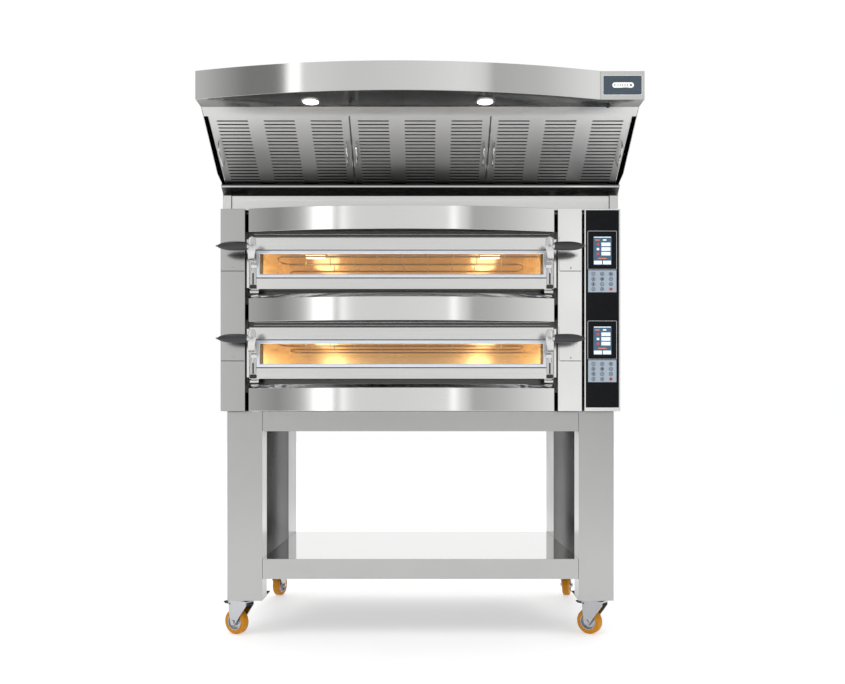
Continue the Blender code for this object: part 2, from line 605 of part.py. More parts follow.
def make_deck(deck, sill):
    """A chamber open to the front with its flange, a stone and a roof element."""
    x = (DECK_X - CHAMBER_WIDTH / 2, DECK_X + CHAMBER_WIDTH / 2)
    z = (sill + CHAMBER_LIFT, sill + CHAMBER_LIFT + CHAMBER_HEIGHT)
    y = (FRAME_PLANE, FRAME_PLANE + CHAMBER_DEPTH)
    outer_z = (z[0] - SHEET, z[1] + SHEET)
    body = block((x[0] - SHEET, x[1] + SHEET), (y[0] + SHEET / 2, y[1] + SHEET), outer_z)
    chamber = place("chamber_" + deck, body, CHAMBER)
    flange_x = (FASCIA_LEFT - COLUMN_RECESS + GAP, FASCIA_RIGHT + COLUMN_RECESS - GAP)
    flange_z = (sill - FLANGE_BELOW, sill + DOOR_GAP + DOOR_HEIGHT + HEAD_GAP + FLANGE_OVERLAP)
    join(chamber, block(flange_x, (FRAME_PLANE, FRAME_PLANE + SHEET), flange_z))
    cut(chamber, block(x, (y[0] - 0.01, y[1]), z))

    slab_x = (x[0] + STONE_MARGIN, x[1] - STONE_MARGIN)
    slab_y = (y[0] + STONE_MARGIN, y[1] - STONE_MARGIN)
    slab = block(slab_x, slab_y, (z[0] + GAP, z[0] + GAP + STONE_THICKNESS))
    place("baking_stone_" + deck, slab, STONE)

    height = z[1] - ELEMENT_DROP
    turn_x = (x[0] + ELEMENT_MARGIN, x[1] - ELEMENT_MARGIN)
    first_y = y[0] + ELEMENT_FRONT
    pitch = (CHAMBER_DEPTH - 2 * ELEMENT_FRONT) / (ELEMENT_RUNS - 1)
    path = [Vector((x[1] - GAP, first_y, height))]
    for run in range(ELEMENT_RUNS):
        here = first_y + run * pitch
        far = turn_x[0] if run % 2 == 0 else turn_x[1]
        if run == ELEMENT_RUNS - 1:
            path.append(Vector((x[1] - GAP, here, height)))
            break
        centre = here + pitch / 2
        bulge = -1 if run % 2 == 0 else 1
        for i in range(7):
            angle = pi * i / 6
            across = far + bulge * 0.5 * ELEMENT_MARGIN * sin(angle)
            path.append(Vector((across, centre - pitch / 2 * cos(angle), height)))
    place("heating_element_" + deck, tube(path, ELEMENT_RADIUS, 6), ELEMENT)


def make_door(deck, low):
    """The door's own pieces, all placed from its hinge axis."""
    hinge = pivot("hinge_" + deck, (DECK_X, HINGE_Y, low - HINGE_DROP))
    half = (DOOR_RIGHT - DOOR_LEFT) / 2
    front, bottom = -HINGE_INSET, HINGE_DROP
    body = block((-half, half), (front, front + DOOR_DEPTH), (bottom, bottom + DOOR_HEIGHT))
    frame = place("door_frame_" + deck, body, BRUSHED, hinge)
    glass_half = half - DOOR_STILE
    glass_z = (bottom + WINDOW_LOW, bottom + WINDOW_LOW + WINDOW_HEIGHT)
    seat = front + PANE_SEAT
    cut(frame, block((-glass_half, glass_half), (front - 0.01, seat + 0.01), glass_z))
    rebate = WINDOW_REBATE
    rebate_x = (-glass_half - rebate, glass_half + rebate)
    rebate_z = (glass_z[0] - rebate, glass_z[1] + rebate)
    cut(frame, block(rebate_x, (seat, front + DOOR_DEPTH + 0.01), rebate_z))
    skin = SHEET
    depth = (front + DOOR_SKIN, front + DOOR_DEPTH + 0.01)
    side_x = glass_half + rebate + skin
    cut(frame, block((skin - half, half - skin), depth, (rebate_z[1] + skin, bottom + DOOR_HEIGHT - skin)))
    cut(frame, block((skin - half, half - skin), depth, (bottom + skin, rebate_z[0] - skin)))
    cut(frame, block((skin - half, -side_x), depth, (bottom + skin, bottom + DOOR_HEIGHT - skin)))
    cut(frame, block((side_x, half - skin), depth, (bottom + skin, bottom + DOOR_HEIGHT - skin)))
    for z in (glass_z[0] - BEZEL_WIDTH, glass_z[1] + BEZEL_WIDTH):
        groove = (z - GROOVE / 2, z + GROOVE / 2)
        cut(frame, block((-half - 0.01, half + 0.01), (front - 0.01, front + 0.0015), groove))
    radius, length = KNUCKLE_RADIUS, KNUCKLE_LENGTH
    knuckle = ((0, 0), (radius, 0), (radius, length), (0, length))
    thick, far = KNUCKLE_WEB
    web = ((-thick, 0), (thick, 0), (thick, bottom + thick), (-thick, bottom + thick))
    for start in (-half + KNUCKLE_INSET, half - KNUCKLE_INSET - length):
        join(frame, turned(knuckle, "X", SMALL_ROUND, (start, 0, 0)))
        join(frame, prism(web, "X", start + thick, start + far))
    pane_x = glass_half + rebate - GAP
    pane_z = (rebate_z[0] + GAP, rebate_z[1] - GAP)
    pane = block((-pane_x, pane_x), (seat + GAP, seat + GAP + GLASS_THICKNESS), pane_z)
    place("door_glass_" + deck, pane, WINDOW, hinge)
    for side, sign in (("left", -1), ("right", 1)):
        make_lever(deck, side, sign, hinge, half, bottom)


def make_lever(deck, side, sign, hinge, half, bottom):
    """A strap that leaves the door's face, curves forward and carries the grip at its top."""
    middle = sign * (half - LEVER_INSET)
    grip_z = bottom + GRIP_HEIGHT
    face = -HINGE_INSET - GAP
    reach = face - LEVER_REACH
    path = [(face - ahead, grip_z - below) for ahead, below, _ in LEVER_PATH]
    widths = [width for _, _, width in LEVER_PATH]
    loops = []
    for i, ((y, z), width) in enumerate(zip(path, widths)):
        before = Vector(path[max(i - 1, 0)])
        after = Vector(path[min(i + 1, len(path) - 1)])
        along = (after - before).normalized()
        out = Vector((-along.y, along.x)) * LEVER_THICKNESS
        if i < LEVER_FOOT_ROWS:
            out = Vector((-LEVER_THICKNESS, 0))
        left, right = middle - width / 2, middle + width / 2
        ahead_y, ahead_z = y + out.x, z + out.y
        loops.append([(left, y, z), (right, y, z), (right, ahead_y, ahead_z), (left, ahead_y, ahead_z)])
    lever = place("door_lever_%s_%s" % (deck, side), loft(loops), CHROME, hinge)
    grip_y = reach - LEVER_THICKNESS / 2
    lug_end = LEVER_WIDTH / 2 + LEVER_LUG
    lug = ((0, 0), (LUG_RADIUS, 0), (LUG_RADIUS, lug_end), (0, lug_end))
    turn = (0, 0, 0) if sign > 0 else (0, 0, pi)
    tool = helper(lever, turned(lug, "X", SMALL_ROUND), "UNION")
    tool.location = (middle, grip_y, grip_z)
    tool.rotation_euler = turn

    start = lug_end + GAP
    end = start + GRIP_LENGTH
    shape = [(GRIP_RADIUS * wide, start + GRIP_LENGTH * share) for share, wide in GRIP_SHAPE]
    profile = [(0, start), *shape, (0, end)]
    item = place("door_grip_%s_%s" % (deck, side), turned(profile, "X", GRIP_SIDES), GRIP, hinge)
    item.location = (middle, grip_y, grip_z)
    item.rotation_euler = turn


def make_controls():
    x = (CONTROL_LEFT, HALF)
    wall = CONTROL_WALL
    back = FRAME_PLANE + SHEET
    outline = ((x[0], 0), (x[1], 0), (x[1], back), (x[1] - SHEET, back), (x[1] - SHEET, wall),
               (x[0] + SHEET, wall), (x[0] + SHEET, back), (x[0], back))
    housing = place("control_housing", prism(outline, "Z", BODY_LOW, OVEN_TOP), BRUSHED)
    recess_z = (BODY_LOW + CONTROL_FOOT, OVEN_TOP - CONTROL_EDGE)
    recess_x = (x[0] + CONTROL_EDGE, x[1] - CONTROL_EDGE)
    cut(housing, block(recess_x, (-0.01, CONTROL_SEAT), recess_z))
    pane_x = (recess_x[0] + GAP, recess_x[1] - GAP)
    pane_z = (recess_z[0] + GAP, recess_z[1] - GAP)
    place("control_glass", block(pane_x, (0, CONTROL_SEAT - GAP), pane_z), BLACK_GLASS)
    plate_x = (x[0] + PLATE_LEFT, x[1] - PLATE_RIGHT)
    plate_y = (-GAP - PLATE_THICKNESS, -GAP)
    for deck, sill in zip(("lower", "upper"), SILL):
        plate_z = (sill + PLATE_RISE[0], sill + PLATE_RISE[1])
        place("control_panel_" + deck, block(plate_x, plate_y, plate_z), PANEL)


# ---------------------------------------------------------------- hood
def on_slope(x, down, out):
    """A point on the filter plane: X, distance down the slope, and distance out of the plane."""
    return FILTER_TOP_POINT + Vector((x, 0, 0)) + SLOPE * down + OUTWARD * out


def sloped_block(x, down, out):
    """A box lying in the filter plane."""
    corners = ((down[0], out[0]), (down[1], out[0]), (down[1], out[1]), (down[0], out[1]))
    return loft([[on_slope(along, *corner) for corner in corners] for along in x])


def make_hood():
    half = HOOD_HALF
    wall = HOOD_WALL
    front = HOOD_SHELL_FRONT
    foot_y, foot_z = FILTER_LOW_POINT.y, FILTER_LOW_POINT.z
    cheek = [(HOOD_SPLASH, HOOD_LOW), *[(HOOD_SPLASH + y, foot_z + z) for y, z in CHEEK]]
    share, proud = CHEEK_BULGE
    edge = FILTER_TOP_POINT + SLOPE * (SLOPE_LENGTH * share) + OUTWARD * proud
    under = SOFFIT - GAP
    cheek += [(edge.y, edge.z), (SOFFIT_REAR - SHEET, under), (front, under), (front, HOOD_TOP),
              (HOOD_REAR, HOOD_TOP), (HOOD_REAR, HOOD_LOW)]
    shell = place("hood_shell", prism(cheek, "X", -half, half), BRUSHED)
    skin = SHEET
    notch = foot_z + HOOD_NOTCH
    hollow = front - FILTER_CHAMBER
    roof, rear = HOOD_TOP - skin, HOOD_REAR - skin
    inside = ((HOOD_SPLASH + skin, HOOD_LOW + skin), (HOOD_SPLASH + skin, notch), (hollow, notch),
              (hollow, roof), (rear, roof), (rear, HOOD_LOW + skin))
    cut(shell, prism(inside, "X", -half + wall, half - wall))
    rim = foot_z + GUTTER_RIM
    splash = ((HOOD_SPLASH, HOOD_LOW), (HOOD_SPLASH + skin, HOOD_LOW), (HOOD_SPLASH + skin, rim),
              (HOOD_SPLASH, rim))
    join(shell, prism(splash, "X", -half + wall / 2, half - wall / 2))
    throat = DUCT_RADIUS - skin
    under, over = HOOD_TOP - 0.02, HOOD_TOP + 0.02
    hole = ((0, under), (throat, under), (throat, over), (0, over))
    cut(shell, turned(hole, steps=ROUND, at=(0, FAN_Y, 0)))

    left, right = -half, HOOD_FASCIA_END
    fascia_low = SOFFIT
    fascia_top = SOFFIT + HOOD_FASCIA_HEIGHT
    back = front - GAP
    plan = (left, right, HOOD_FRONT, HOOD_BOW)
    outer = bowed_outline(*plan, back)
    fascia = place("hood_fascia", prism(outer, "Z", fascia_low, fascia_top), BRUSHED)
    inner = bowed_outline(*plan, back + 0.01, inset=skin)
    cut(fascia, prism(inner, "Z", fascia_low - 0.01, fascia_top - skin))

    make_soffit(plan, half - wall - GAP)
    box = block((right + GAP, half), (HOOD_FRONT, front - GAP), (fascia_low, fascia_top))
    control = place("hood_control_box", box, BRUSHED)
    box_z = (fascia_low + skin + GAP, HOOD_TOP - skin - GAP)
    body_x = (right + GAP + 0.003, half - wall - GAP)
    join(control, block(body_x, (front - 0.001, HOOD_BOX_REAR), box_z))
    cut(control, block((body_x[0] + skin, body_x[1] - skin), (HOOD_FRONT + skin, HOOD_BOX_REAR + 0.01),
                       (box_z[0] + skin, box_z[1] - skin)))

    seat = HOOD_SPLASH - GUTTER_SEAT
    lip = foot_y - GUTTER_LIP
    lip_low, lip_high = (foot_z + z for z in GUTTER_LIP_Z)
    floor = foot_z + GUTTER_FLOOR
    outline = ((lip, lip_high), (lip, lip_low), (seat, floor), (seat, rim), (seat - skin, rim),
               (seat - skin, floor + 2.25 * skin), (lip + skin, lip_low + 0.6 * skin),
               (lip + skin, lip_high))
    place("hood_gutter", prism(outline, "X", -half + wall + GAP, half - wall - GAP), BRUSHED)
    make_filters(seat - skin - GAP)
    make_lamps()
    make_fan()


def make_soffit(plan, half):
    """The flat underside, with the sloping rail that covers the filters' upper edge."""
    skin = SHEET
    left, right, end_y, rise = plan
    edge = bow(left, right, end_y, rise, HOOD_WALL + GAP)
    corner = (edge[-1][0], HOOD_SHELL_FRONT + GAP)
    outline = [(-half, SOFFIT_REAR), *edge[:-1], corner, (half, corner[1]), (half, SOFFIT_REAR)]
    soffit = place("hood_soffit", prism(outline, "Z", SOFFIT, SOFFIT + skin), BRUSHED)
    rail = loft([[on_slope(x, *corner) for corner in
                  ((-0.004, 0.0015), (FILTER_RAIL, 0.0015), (FILTER_RAIL, 0.0), (-0.002, 0.0))]
                 for x in (-half, half)])
    join(soffit, rail)
    throat = LAMP_RADIUS - LAMP_RING
    under, over = SOFFIT - 0.01, SOFFIT + 0.02
    for x in LAMP_X:
        hole = ((0, under), (throat, under), (throat, over), (0, over))
        cut(soffit, turned(hole, steps=ROUND, at=(x, LAMP_Y, 0)))


def make_filters(seat):
    """Slotted trays with bow handles: they rest against the gutter and slide up behind the rail."""
    top = FILTER_LIFT + 0.006
    inner = -GAP - FILTER_THICKNESS
    end = (seat - FILTER_TOP_POINT.y - OUTWARD.y * inner) / SLOPE.y
    names = ("grease_filter_left", "grease_filter_centre", "grease_filter_right")
    first_row = FILTER_RAIL + SLOT_MARGIN
    row_pitch = (SLOPE_LENGTH - SLOT_TAIL - first_row) / (SLOT_ROWS - 1)
    group_pitch = FILTER_WIDTH / SLOT_GROUPS
    slot_reach = (group_pitch - SLOT_BRIDGE) / 2
    for index in range(FILTER_COUNT):
        middle = (index - (FILTER_COUNT - 1) / 2) * FILTER_PITCH
        x = (middle - FILTER_WIDTH / 2, middle + FILTER_WIDTH / 2)
        item = place(names[index], sloped_block(x, (top, end), (inner, -GAP)), BRUSHED)
        tray_x = (x[0] + FILTER_SHEET, x[1] - FILTER_SHEET)
        tray_down = (top + FILTER_SHEET, end - FILTER_SHEET)
        cut(item, sloped_block(tray_x, tray_down, (inner - 0.01, -GAP - FILTER_SHEET)))
        cutter = bmesh.new()
        for group in range(SLOT_GROUPS):
            centre = middle + (group - (SLOT_GROUPS - 1) / 2) * group_pitch
            for row in range(SLOT_ROWS):
                down = first_row + row * row_pitch
                slot = sloped_block((centre - slot_reach, centre + slot_reach),
                                    (down - SLOT_HEIGHT / 2, down + SLOT_HEIGHT / 2),
                                    (-GAP - 2 * FILTER_SHEET, 0.01))
                cutter.from_mesh(slot)
                bpy.data.meshes.remove(slot)
        slots = bpy.data.meshes.new("slots")
        cutter.to_mesh(slots)
        cutter.free()
        cut(item, slots)
        for side in (-1, 1):
            across = middle + side * (FILTER_WIDTH / 2 - HANDLE_INSET)
            join(item, filter_handle(across))


def filter_handle(x):
    """A wire bow whose two ends sink into the panel."""
    middle = SLOPE_LENGTH * HANDLE_PLACE
    path = []
    for i in range(11):
        angle = pi * i / 10
        down = middle - HANDLE_LENGTH / 2 * cos(angle)
        out = HANDLE_REACH * min(1.0, 1.6 * sin(angle)) - 0.004 * (1 - sin(angle))
        path.append(on_slope(x, down, out))
    return tube(path, HANDLE_RADIUS, 6)


def make_lamps():
    for name, x in zip(("spotlight_left", "spotlight_right"), LAMP_X):
        radius = LAMP_RADIUS
        throat = radius - LAMP_RING - GAP
        profile = ((0, SOFFIT - 0.002), (radius - 0.006, SOFFIT - 0.002), (radius - 0.003, SOFFIT - 0.004),
                   (radius, SOFFIT - 0.002), (radius, SOFFIT - GAP), (throat, SOFFIT - GAP),
                   (throat, SOFFIT + LAMP_HEIGHT), (0, SOFFIT + LAMP_HEIGHT))
        place(name, turned(profile, at=(x, LAMP_Y, 0)), LENS)


def make_fan():
    base = HOOD_TOP + GAP
    outer = DUCT_RADIUS
    flange = outer + FLANGE_WIDTH
    collar = ((outer - SHEET, base), (flange, base), (flange, base + SHEET), (outer, base + SHEET),
              (outer, base + DUCT_HEIGHT), (outer - SHEET, base + DUCT_HEIGHT))
    place("duct_collar", turned(collar, at=(0, FAN_Y, 0)), BRUSHED)
    floor = HOOD_LOW + SHEET + GAP
    top = floor + MOTOR_HEIGHT
    shaft_top = top + FAN_CLEARANCE + SHEET + FAN_HEIGHT
    inwards, down = MOTOR_SHOULDER
    motor = ((0, floor), (MOTOR_RADIUS, floor), (MOTOR_RADIUS, top - down), (MOTOR_RADIUS - inwards, top),
             (SHAFT_RADIUS, top), (SHAFT_RADIUS, shaft_top), (0, shaft_top))
    place("fan_motor", turned(motor, at=(0, FAN_Y, 0)), MOTOR)
    axis = pivot("fan_axis", (0, FAN_Y, top + FAN_CLEARANCE))
    bore = SHAFT_RADIUS + AXLE_CLEARANCE
    hub_low, hub_high, share = FAN_HUB
    hub_top = FAN_HEIGHT * share
    disc = ((bore, 0), (FAN_RADIUS, 0), (FAN_RADIUS, SHEET), (hub_low, SHEET), (hub_high, hub_top),
            (bore, hub_top))
    impeller = place("fan_impeller", turned(disc), BRUSHED, axis)
    for i in range(FAN_BLADES):
        turn = Matrix.Rotation(2 * pi * i / FAN_BLADES, 3, "Z")
        blade = [[turn @ Vector((*point, z)) for point in BLADE_PLAN] for z in (SHEET / 2, FAN_HEIGHT)]
        join(impeller, loft(blade))


def set_origin():
    """Put the bottom centre of the whole object's box at the world's origin."""
    bpy.context.view_layer.update()
    graph = bpy.context.evaluated_depsgraph_get()
    low = Vector((1e9, 1e9, 1e9))
    high = -low
    for item in bpy.context.scene.objects:
        if item.type != "MESH" or item.hide_render:
            continue
        shaped = item.evaluated_get(graph)
        mesh = shaped.to_mesh()
        for vertex in mesh.vertices:
            point = item.matrix_world @ vertex.co
            low = Vector(map(min, low, point))
            high = Vector(map(max, high, point))
        shaped.to_mesh_clear()
    ROOT.location = (-(low.x + high.x) / 2, -(low.y + high.y) / 2, -low.z)


make_stand()
for caster in CASTERS:
    make_caster(*caster)
make_casing()
make_column("column_cover_left", (-HALF, -HALF + LEFT_COLUMN_WIDTH))
make_column("column_cover_right", RIGHT_COLUMN)
make_fascia("fascia_bottom", BODY_LOW, SILL[0], SILL_RISE)
make_fascia("fascia_middle", DOOR_TOP[0] + HEAD_GAP, SILL[1], SILL_RISE)
make_fascia("fascia_top", DOOR_TOP[1] + HEAD_GAP, OVEN_TOP, 0.0)
for deck_name, deck_sill, door_low in zip(("lower", "upper"), SILL, DOOR_LOW):
    make_deck(deck_name, deck_sill)
    make_door(deck_name, door_low)
make_controls()
make_hood()
set_origin()
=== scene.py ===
# %% [markdown]
# # Two-deck pizza oven: the looks
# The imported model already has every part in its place. This lesson dresses it: steel sheet gets
# soft folded edges and a brushed grain, the bowed fronts get smooth surfaces that carry long
# reflections, and the small fittings that give the oven its scale are added.
# Every length is in metres, +Z is up and the front faces -Y.

import json
from math import pi, radians

import bmesh
import bpy
import numpy as np
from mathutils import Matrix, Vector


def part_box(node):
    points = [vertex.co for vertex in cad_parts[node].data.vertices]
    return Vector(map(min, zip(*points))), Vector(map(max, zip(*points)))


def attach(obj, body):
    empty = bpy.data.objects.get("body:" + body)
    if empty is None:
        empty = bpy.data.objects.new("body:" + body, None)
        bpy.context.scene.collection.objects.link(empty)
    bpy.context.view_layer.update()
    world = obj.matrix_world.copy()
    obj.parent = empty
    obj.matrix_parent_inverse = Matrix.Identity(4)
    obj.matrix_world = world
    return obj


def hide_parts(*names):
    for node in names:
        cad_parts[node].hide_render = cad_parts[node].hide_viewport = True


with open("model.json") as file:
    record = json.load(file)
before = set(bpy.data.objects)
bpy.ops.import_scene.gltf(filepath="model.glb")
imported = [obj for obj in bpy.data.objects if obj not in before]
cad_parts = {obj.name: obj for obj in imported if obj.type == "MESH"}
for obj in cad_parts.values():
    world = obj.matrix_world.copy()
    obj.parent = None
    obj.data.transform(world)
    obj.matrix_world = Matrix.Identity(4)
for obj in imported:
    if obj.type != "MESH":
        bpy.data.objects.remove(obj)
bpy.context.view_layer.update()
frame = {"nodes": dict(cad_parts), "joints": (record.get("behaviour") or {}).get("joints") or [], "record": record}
BODY_OF = {node: body for body, nodes in frame["record"]["behaviour"]["bodies"].items() for node in nodes}
JOINT = {joint["name"]: joint for joint in frame["joints"]}
DECKS = ("upper", "lower")


def box(node):
    """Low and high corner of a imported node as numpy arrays."""
    low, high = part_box(node)
    return np.array(low, float), np.array(high, float)


# %% [markdown]
# ## Camera, room and light
# Sheet steel is a mirror with a grain, so its look is mostly the look of the room. A plain white
# room gives a dull flat oven. A studio hangs white strips and grey cards around the object, and
# each one becomes an upright band on a bowed front. Here the sky is that studio: its brightness
# depends only on the compass direction, so the bands stay put whichever way the oven is seen.

# %% Camera, floor and studio sky
CAMERA_PLACE = (0.026, -3.705, 0.83)
FOCAL = 38.34
SHIFT_UP = 0.098
SHIFT_SIDE = -0.0021
FLOOR_REACH = 40.0
LOW_CARDS = (  # direction in degrees from straight ahead of the oven, brightness near the horizon
    (-180, 0.98), (-125, 0.95), (-100, 0.45), (-60, 0.42), (-36, 0.53), (-28, 0.32), (-24, 0.50),
    (-21.4, 0.80), (-20.2, 1.75), (-16.8, 1.75), (-16.0, 0.66), (-14.6, 0.68), (-14.0, 1.35),
    (-13.2, 1.35), (-12.5, 0.86), (-4, 0.84), (4, 0.88), (9.0, 0.92), (9.4, 1.45), (10.3, 1.45),
    (10.8, 0.96), (12.4, 0.90), (13.4, 0.48), (20, 0.60), (31, 0.95), (60, 0.50), (100, 0.45),
    (125, 0.95), (180, 0.98))
HIGH_CARDS = (  # the same above the oven's own height, where the hood's front looks
    (-180, 0.9), (-100, 0.50), (-60, 0.60), (-43, 0.62), (-38, 0.42), (-33, 0.24), (-26.8, 0.24),
    (-24.9, 0.46), (-23.6, 1.75), (-22.5, 1.75), (-21.2, 0.84), (-12, 0.74), (-8, 0.74), (2, 0.80),
    (12, 0.92), (16.4, 0.84), (18.2, 0.52), (28, 0.62), (39, 0.95), (60, 0.60), (100, 0.50),
    (180, 0.9))
HORIZON_TO_HIGH = (0.276, 0.309)     # sines of the heights between which the rows of cards change over
CEILING = (0.88, 0.98)               # sines of the heights between which the ceiling lamp comes in
CEILING_LIGHT = 4.6

view = bpy.data.cameras.new("view")
view.lens = FOCAL
view.shift_x = SHIFT_SIDE
view.shift_y = SHIFT_UP
camera = bpy.data.objects.new("view", view)
camera.location = CAMERA_PLACE
camera.rotation_euler = (pi / 2, 0, 0)
bpy.context.collection.objects.link(camera)
bpy.context.scene.camera = camera
bpy.context.scene.view_settings.view_transform = "Standard"


def find(sockets, key):
    """The socket at a place, or the one in use with that name."""
    if isinstance(key, int):
        return sockets[key]
    return next(item for item in sockets if item.enabled and item.name == key)


def wire(tree, kind, inputs=None, **settings):
    """Add a shader node; an input that is itself a socket is linked, anything else is its value."""
    made = tree.nodes.new(kind)
    for key, value in settings.items():
        setattr(made, key, value)
    for key, value in (inputs or {}).items():
        if isinstance(value, bpy.types.NodeSocket):
            tree.links.new(value, find(made.inputs, key))
        else:
            find(made.inputs, key).default_value = value
    return made


def ramp(tree, value, stops):
    """A colour ramp of (position, colour) stops."""
    made = wire(tree, "ShaderNodeValToRGB", {"Fac": value})
    band = made.color_ramp
    while len(band.elements) < len(stops):
        band.elements.new(1.0)
    for element, (position, colour) in zip(band.elements, stops):
        element.position = position
        element.color = (*colour, 1.0)
    return made.outputs["Color"]


def studio_sky():
    """Brightness from the angle round the vertical: arctangent of sideways over forwards."""
    world = bpy.data.worlds.new("studio")
    bpy.context.scene.world = world
    world.use_nodes = True
    tree = world.node_tree
    tree.nodes.clear()
    way = wire(tree, "ShaderNodeTexCoord").outputs["Generated"]
    parts = wire(tree, "ShaderNodeSeparateXYZ", {"Vector": way})
    ahead = wire(tree, "ShaderNodeMath", {0: parts.outputs["Y"], 1: -1.0}, operation="MULTIPLY")
    angle = wire(tree, "ShaderNodeMath", {0: parts.outputs["X"], 1: ahead.outputs[0]}, operation="ARCTAN2")
    share = wire(tree, "ShaderNodeMapRange", {"Value": angle.outputs[0], "From Min": -pi, "From Max": pi})
    rows = []
    for cards in (LOW_CARDS, HIGH_CARDS):
        stops = [((degrees + 180) / 360, (level * 0.5,) * 3) for degrees, level in cards]
        rows.append(ramp(tree, share.outputs["Result"], stops))
    height = parts.outputs["Z"]
    rise = wire(tree, "ShaderNodeMapRange", {"Value": height, "From Min": HORIZON_TO_HIGH[0],
                                             "From Max": HORIZON_TO_HIGH[1]})
    cards = wire(tree, "ShaderNodeMix", {"Factor": rise.outputs[0], "A": rows[0], "B": rows[1]},
                 data_type="RGBA")
    roof = wire(tree, "ShaderNodeMapRange", {"Value": height, "From Min": CEILING[0],
                                             "From Max": CEILING[1], "To Min": 2.0,
                                             "To Max": 2.0 * CEILING_LIGHT})
    room = wire(tree, "ShaderNodeBackground", {"Color": find(cards.outputs, "Result"),
                                               "Strength": roof.outputs[0]})
    paper = wire(tree, "ShaderNodeBackground", {"Color": (1, 1, 1, 1), "Strength": 1.0})
    seen = wire(tree, "ShaderNodeLightPath").outputs["Is Camera Ray"]
    both = wire(tree, "ShaderNodeMixShader", {0: seen, 1: room.outputs[0], 2: paper.outputs[0]})
    wire(tree, "ShaderNodeOutputWorld", {"Surface": both.outputs[0]})


def softbox(name, place, aim, size, watts):
    """A square lamp that lights matt surfaces only, so that it draws no shape on the steel."""
    lamp = bpy.data.lights.new(name, "AREA")
    lamp.size = size
    lamp.energy = watts
    item = bpy.data.objects.new(name, lamp)
    item.location = place
    way = np.array(aim, float) - np.array(place, float)
    item.rotation_euler = (np.arctan2(np.hypot(way[0], way[1]), -way[2]), 0,
                           np.arctan2(way[1], way[0]) - pi / 2)
    item.visible_glossy = False
    item.visible_camera = False
    bpy.context.collection.objects.link(item)


studio_sky()
softbox("top_left_light", (-2.2, -2.6, 3.6), (0, 0, 0.6), 2.4, 60)
softbox("top_right_light", (2.4, -2.2, 3.4), (0, 0, 0.6), 2.4, 45)
softbox("back_light", (0, 3.6, 3.4), (0, 0, 0.5), 3.0, 60)
print("camera, sky and three lamps are set")


# %% [markdown]
# ## Finishes
# Each metal is one recipe with its own numbers: a very long thin noise along the polishing
# direction makes the grain, and a broad soft noise makes the faint clouds that hands and
# cleaning leave. The grain moves roughness, tone and height together, as real scratches do.
# Patterns read Object coordinates, in metres, so they have the same scale on every piece.

# %% Finishes
GRAIN_LENGTH = 5.0        # grain stripes to the metre along the polish
GRAIN_COUNT = 900.0       # across it


def blank(name):
    """A new material, its tree and its Principled shader."""
    finish = bpy.data.materials.new(name)
    finish.use_nodes = True
    return finish, finish.node_tree, finish.node_tree.nodes["Principled BSDF"]


def socket(shader, **values):
    """Set constant values on the shader; an underscore in a name stands for a space."""
    for key, value in values.items():
        shader.inputs[key.replace("_", " ")].default_value = value


def metal(name, colour, roughness, along="X", grain=0.03, cloud=0.03, bump=0.03, tone=0.05, fade=None):
    """Polished or brushed metal with its grain along one axis.

    An optional (low height, high height, share) paints shade: the tone falls to that share at the low height."""
    finish, tree, shader = blank(name)
    place = wire(tree, "ShaderNodeTexCoord").outputs["Object"]
    scale = [GRAIN_COUNT] * 3
    scale["XYZ".index(along)] = GRAIN_LENGTH
    lines = wire(tree, "ShaderNodeMapping", {"Vector": place, "Scale": scale})
    fine = wire(tree, "ShaderNodeTexNoise", {"Vector": lines.outputs[0], "Scale": 1.0,
                                             "Detail": 2.0}).outputs[0]
    broad = wire(tree, "ShaderNodeTexNoise", {"Vector": place, "Scale": 4.0, "Detail": 4.0}).outputs[0]
    stripe = wire(tree, "ShaderNodeMapRange", {"Value": fine, "From Min": 0.3, "From Max": 0.7,
                                               "To Min": roughness - grain, "To Max": roughness + grain})
    soft = wire(tree, "ShaderNodeMapRange", {"Value": broad, "From Min": 0.3, "From Max": 0.7,
                                             "To Min": -cloud, "To Max": cloud})
    total = wire(tree, "ShaderNodeMath", {0: stripe.outputs[0], 1: soft.outputs[0]}, operation="ADD",
                 use_clamp=True)
    dark = tuple(channel * (1 - tone) for channel in colour)
    shade = ramp(tree, fine, ((0.30, dark), (0.70, colour)))
    # Painted shade: the tone is scaled down towards the low height.
    if fade:
        height = wire(tree, "ShaderNodeSeparateXYZ", {"Vector": place}).outputs["Z"]
        level = wire(tree, "ShaderNodeMapRange", {"Value": height, "From Min": fade[0], "From Max": fade[1],
                                                  "To Min": fade[2], "To Max": 1.0}).outputs[0]
        shade = wire(tree, "ShaderNodeVectorMath", {0: shade, "Scale": level}, operation="SCALE").outputs[0]
    relief = wire(tree, "ShaderNodeBump", {"Height": fine, "Strength": bump, "Distance": 0.0002})
    tree.links.new(shade, shader.inputs["Base Color"])
    tree.links.new(total.outputs[0], shader.inputs["Roughness"])
    tree.links.new(relief.outputs[0], shader.inputs["Normal"])
    socket(shader, Metallic=1.0)
    return finish


def mottled(name, dark, light, scale, roughness, bump=0.2, **values):
    """Plastic, rubber or stone: two close tones in a noise, with the same noise as a fine relief."""
    finish, tree, shader = blank(name)
    place = wire(tree, "ShaderNodeTexCoord").outputs["Object"]
    speck = wire(tree, "ShaderNodeTexNoise", {"Vector": place, "Scale": scale, "Detail": 4.0}).outputs[0]
    shade = ramp(tree, speck, ((0.35, dark), (0.65, light)))
    rough = wire(tree, "ShaderNodeMapRange", {"Value": speck, "To Min": roughness - 0.05,
                                              "To Max": roughness + 0.05})
    relief = wire(tree, "ShaderNodeBump", {"Height": speck, "Strength": bump, "Distance": 0.0003})
    tree.links.new(shade, shader.inputs["Base Color"])
    tree.links.new(rough.outputs[0], shader.inputs["Roughness"])
    tree.links.new(relief.outputs[0], shader.inputs["Normal"])
    socket(shader, **values)
    return finish


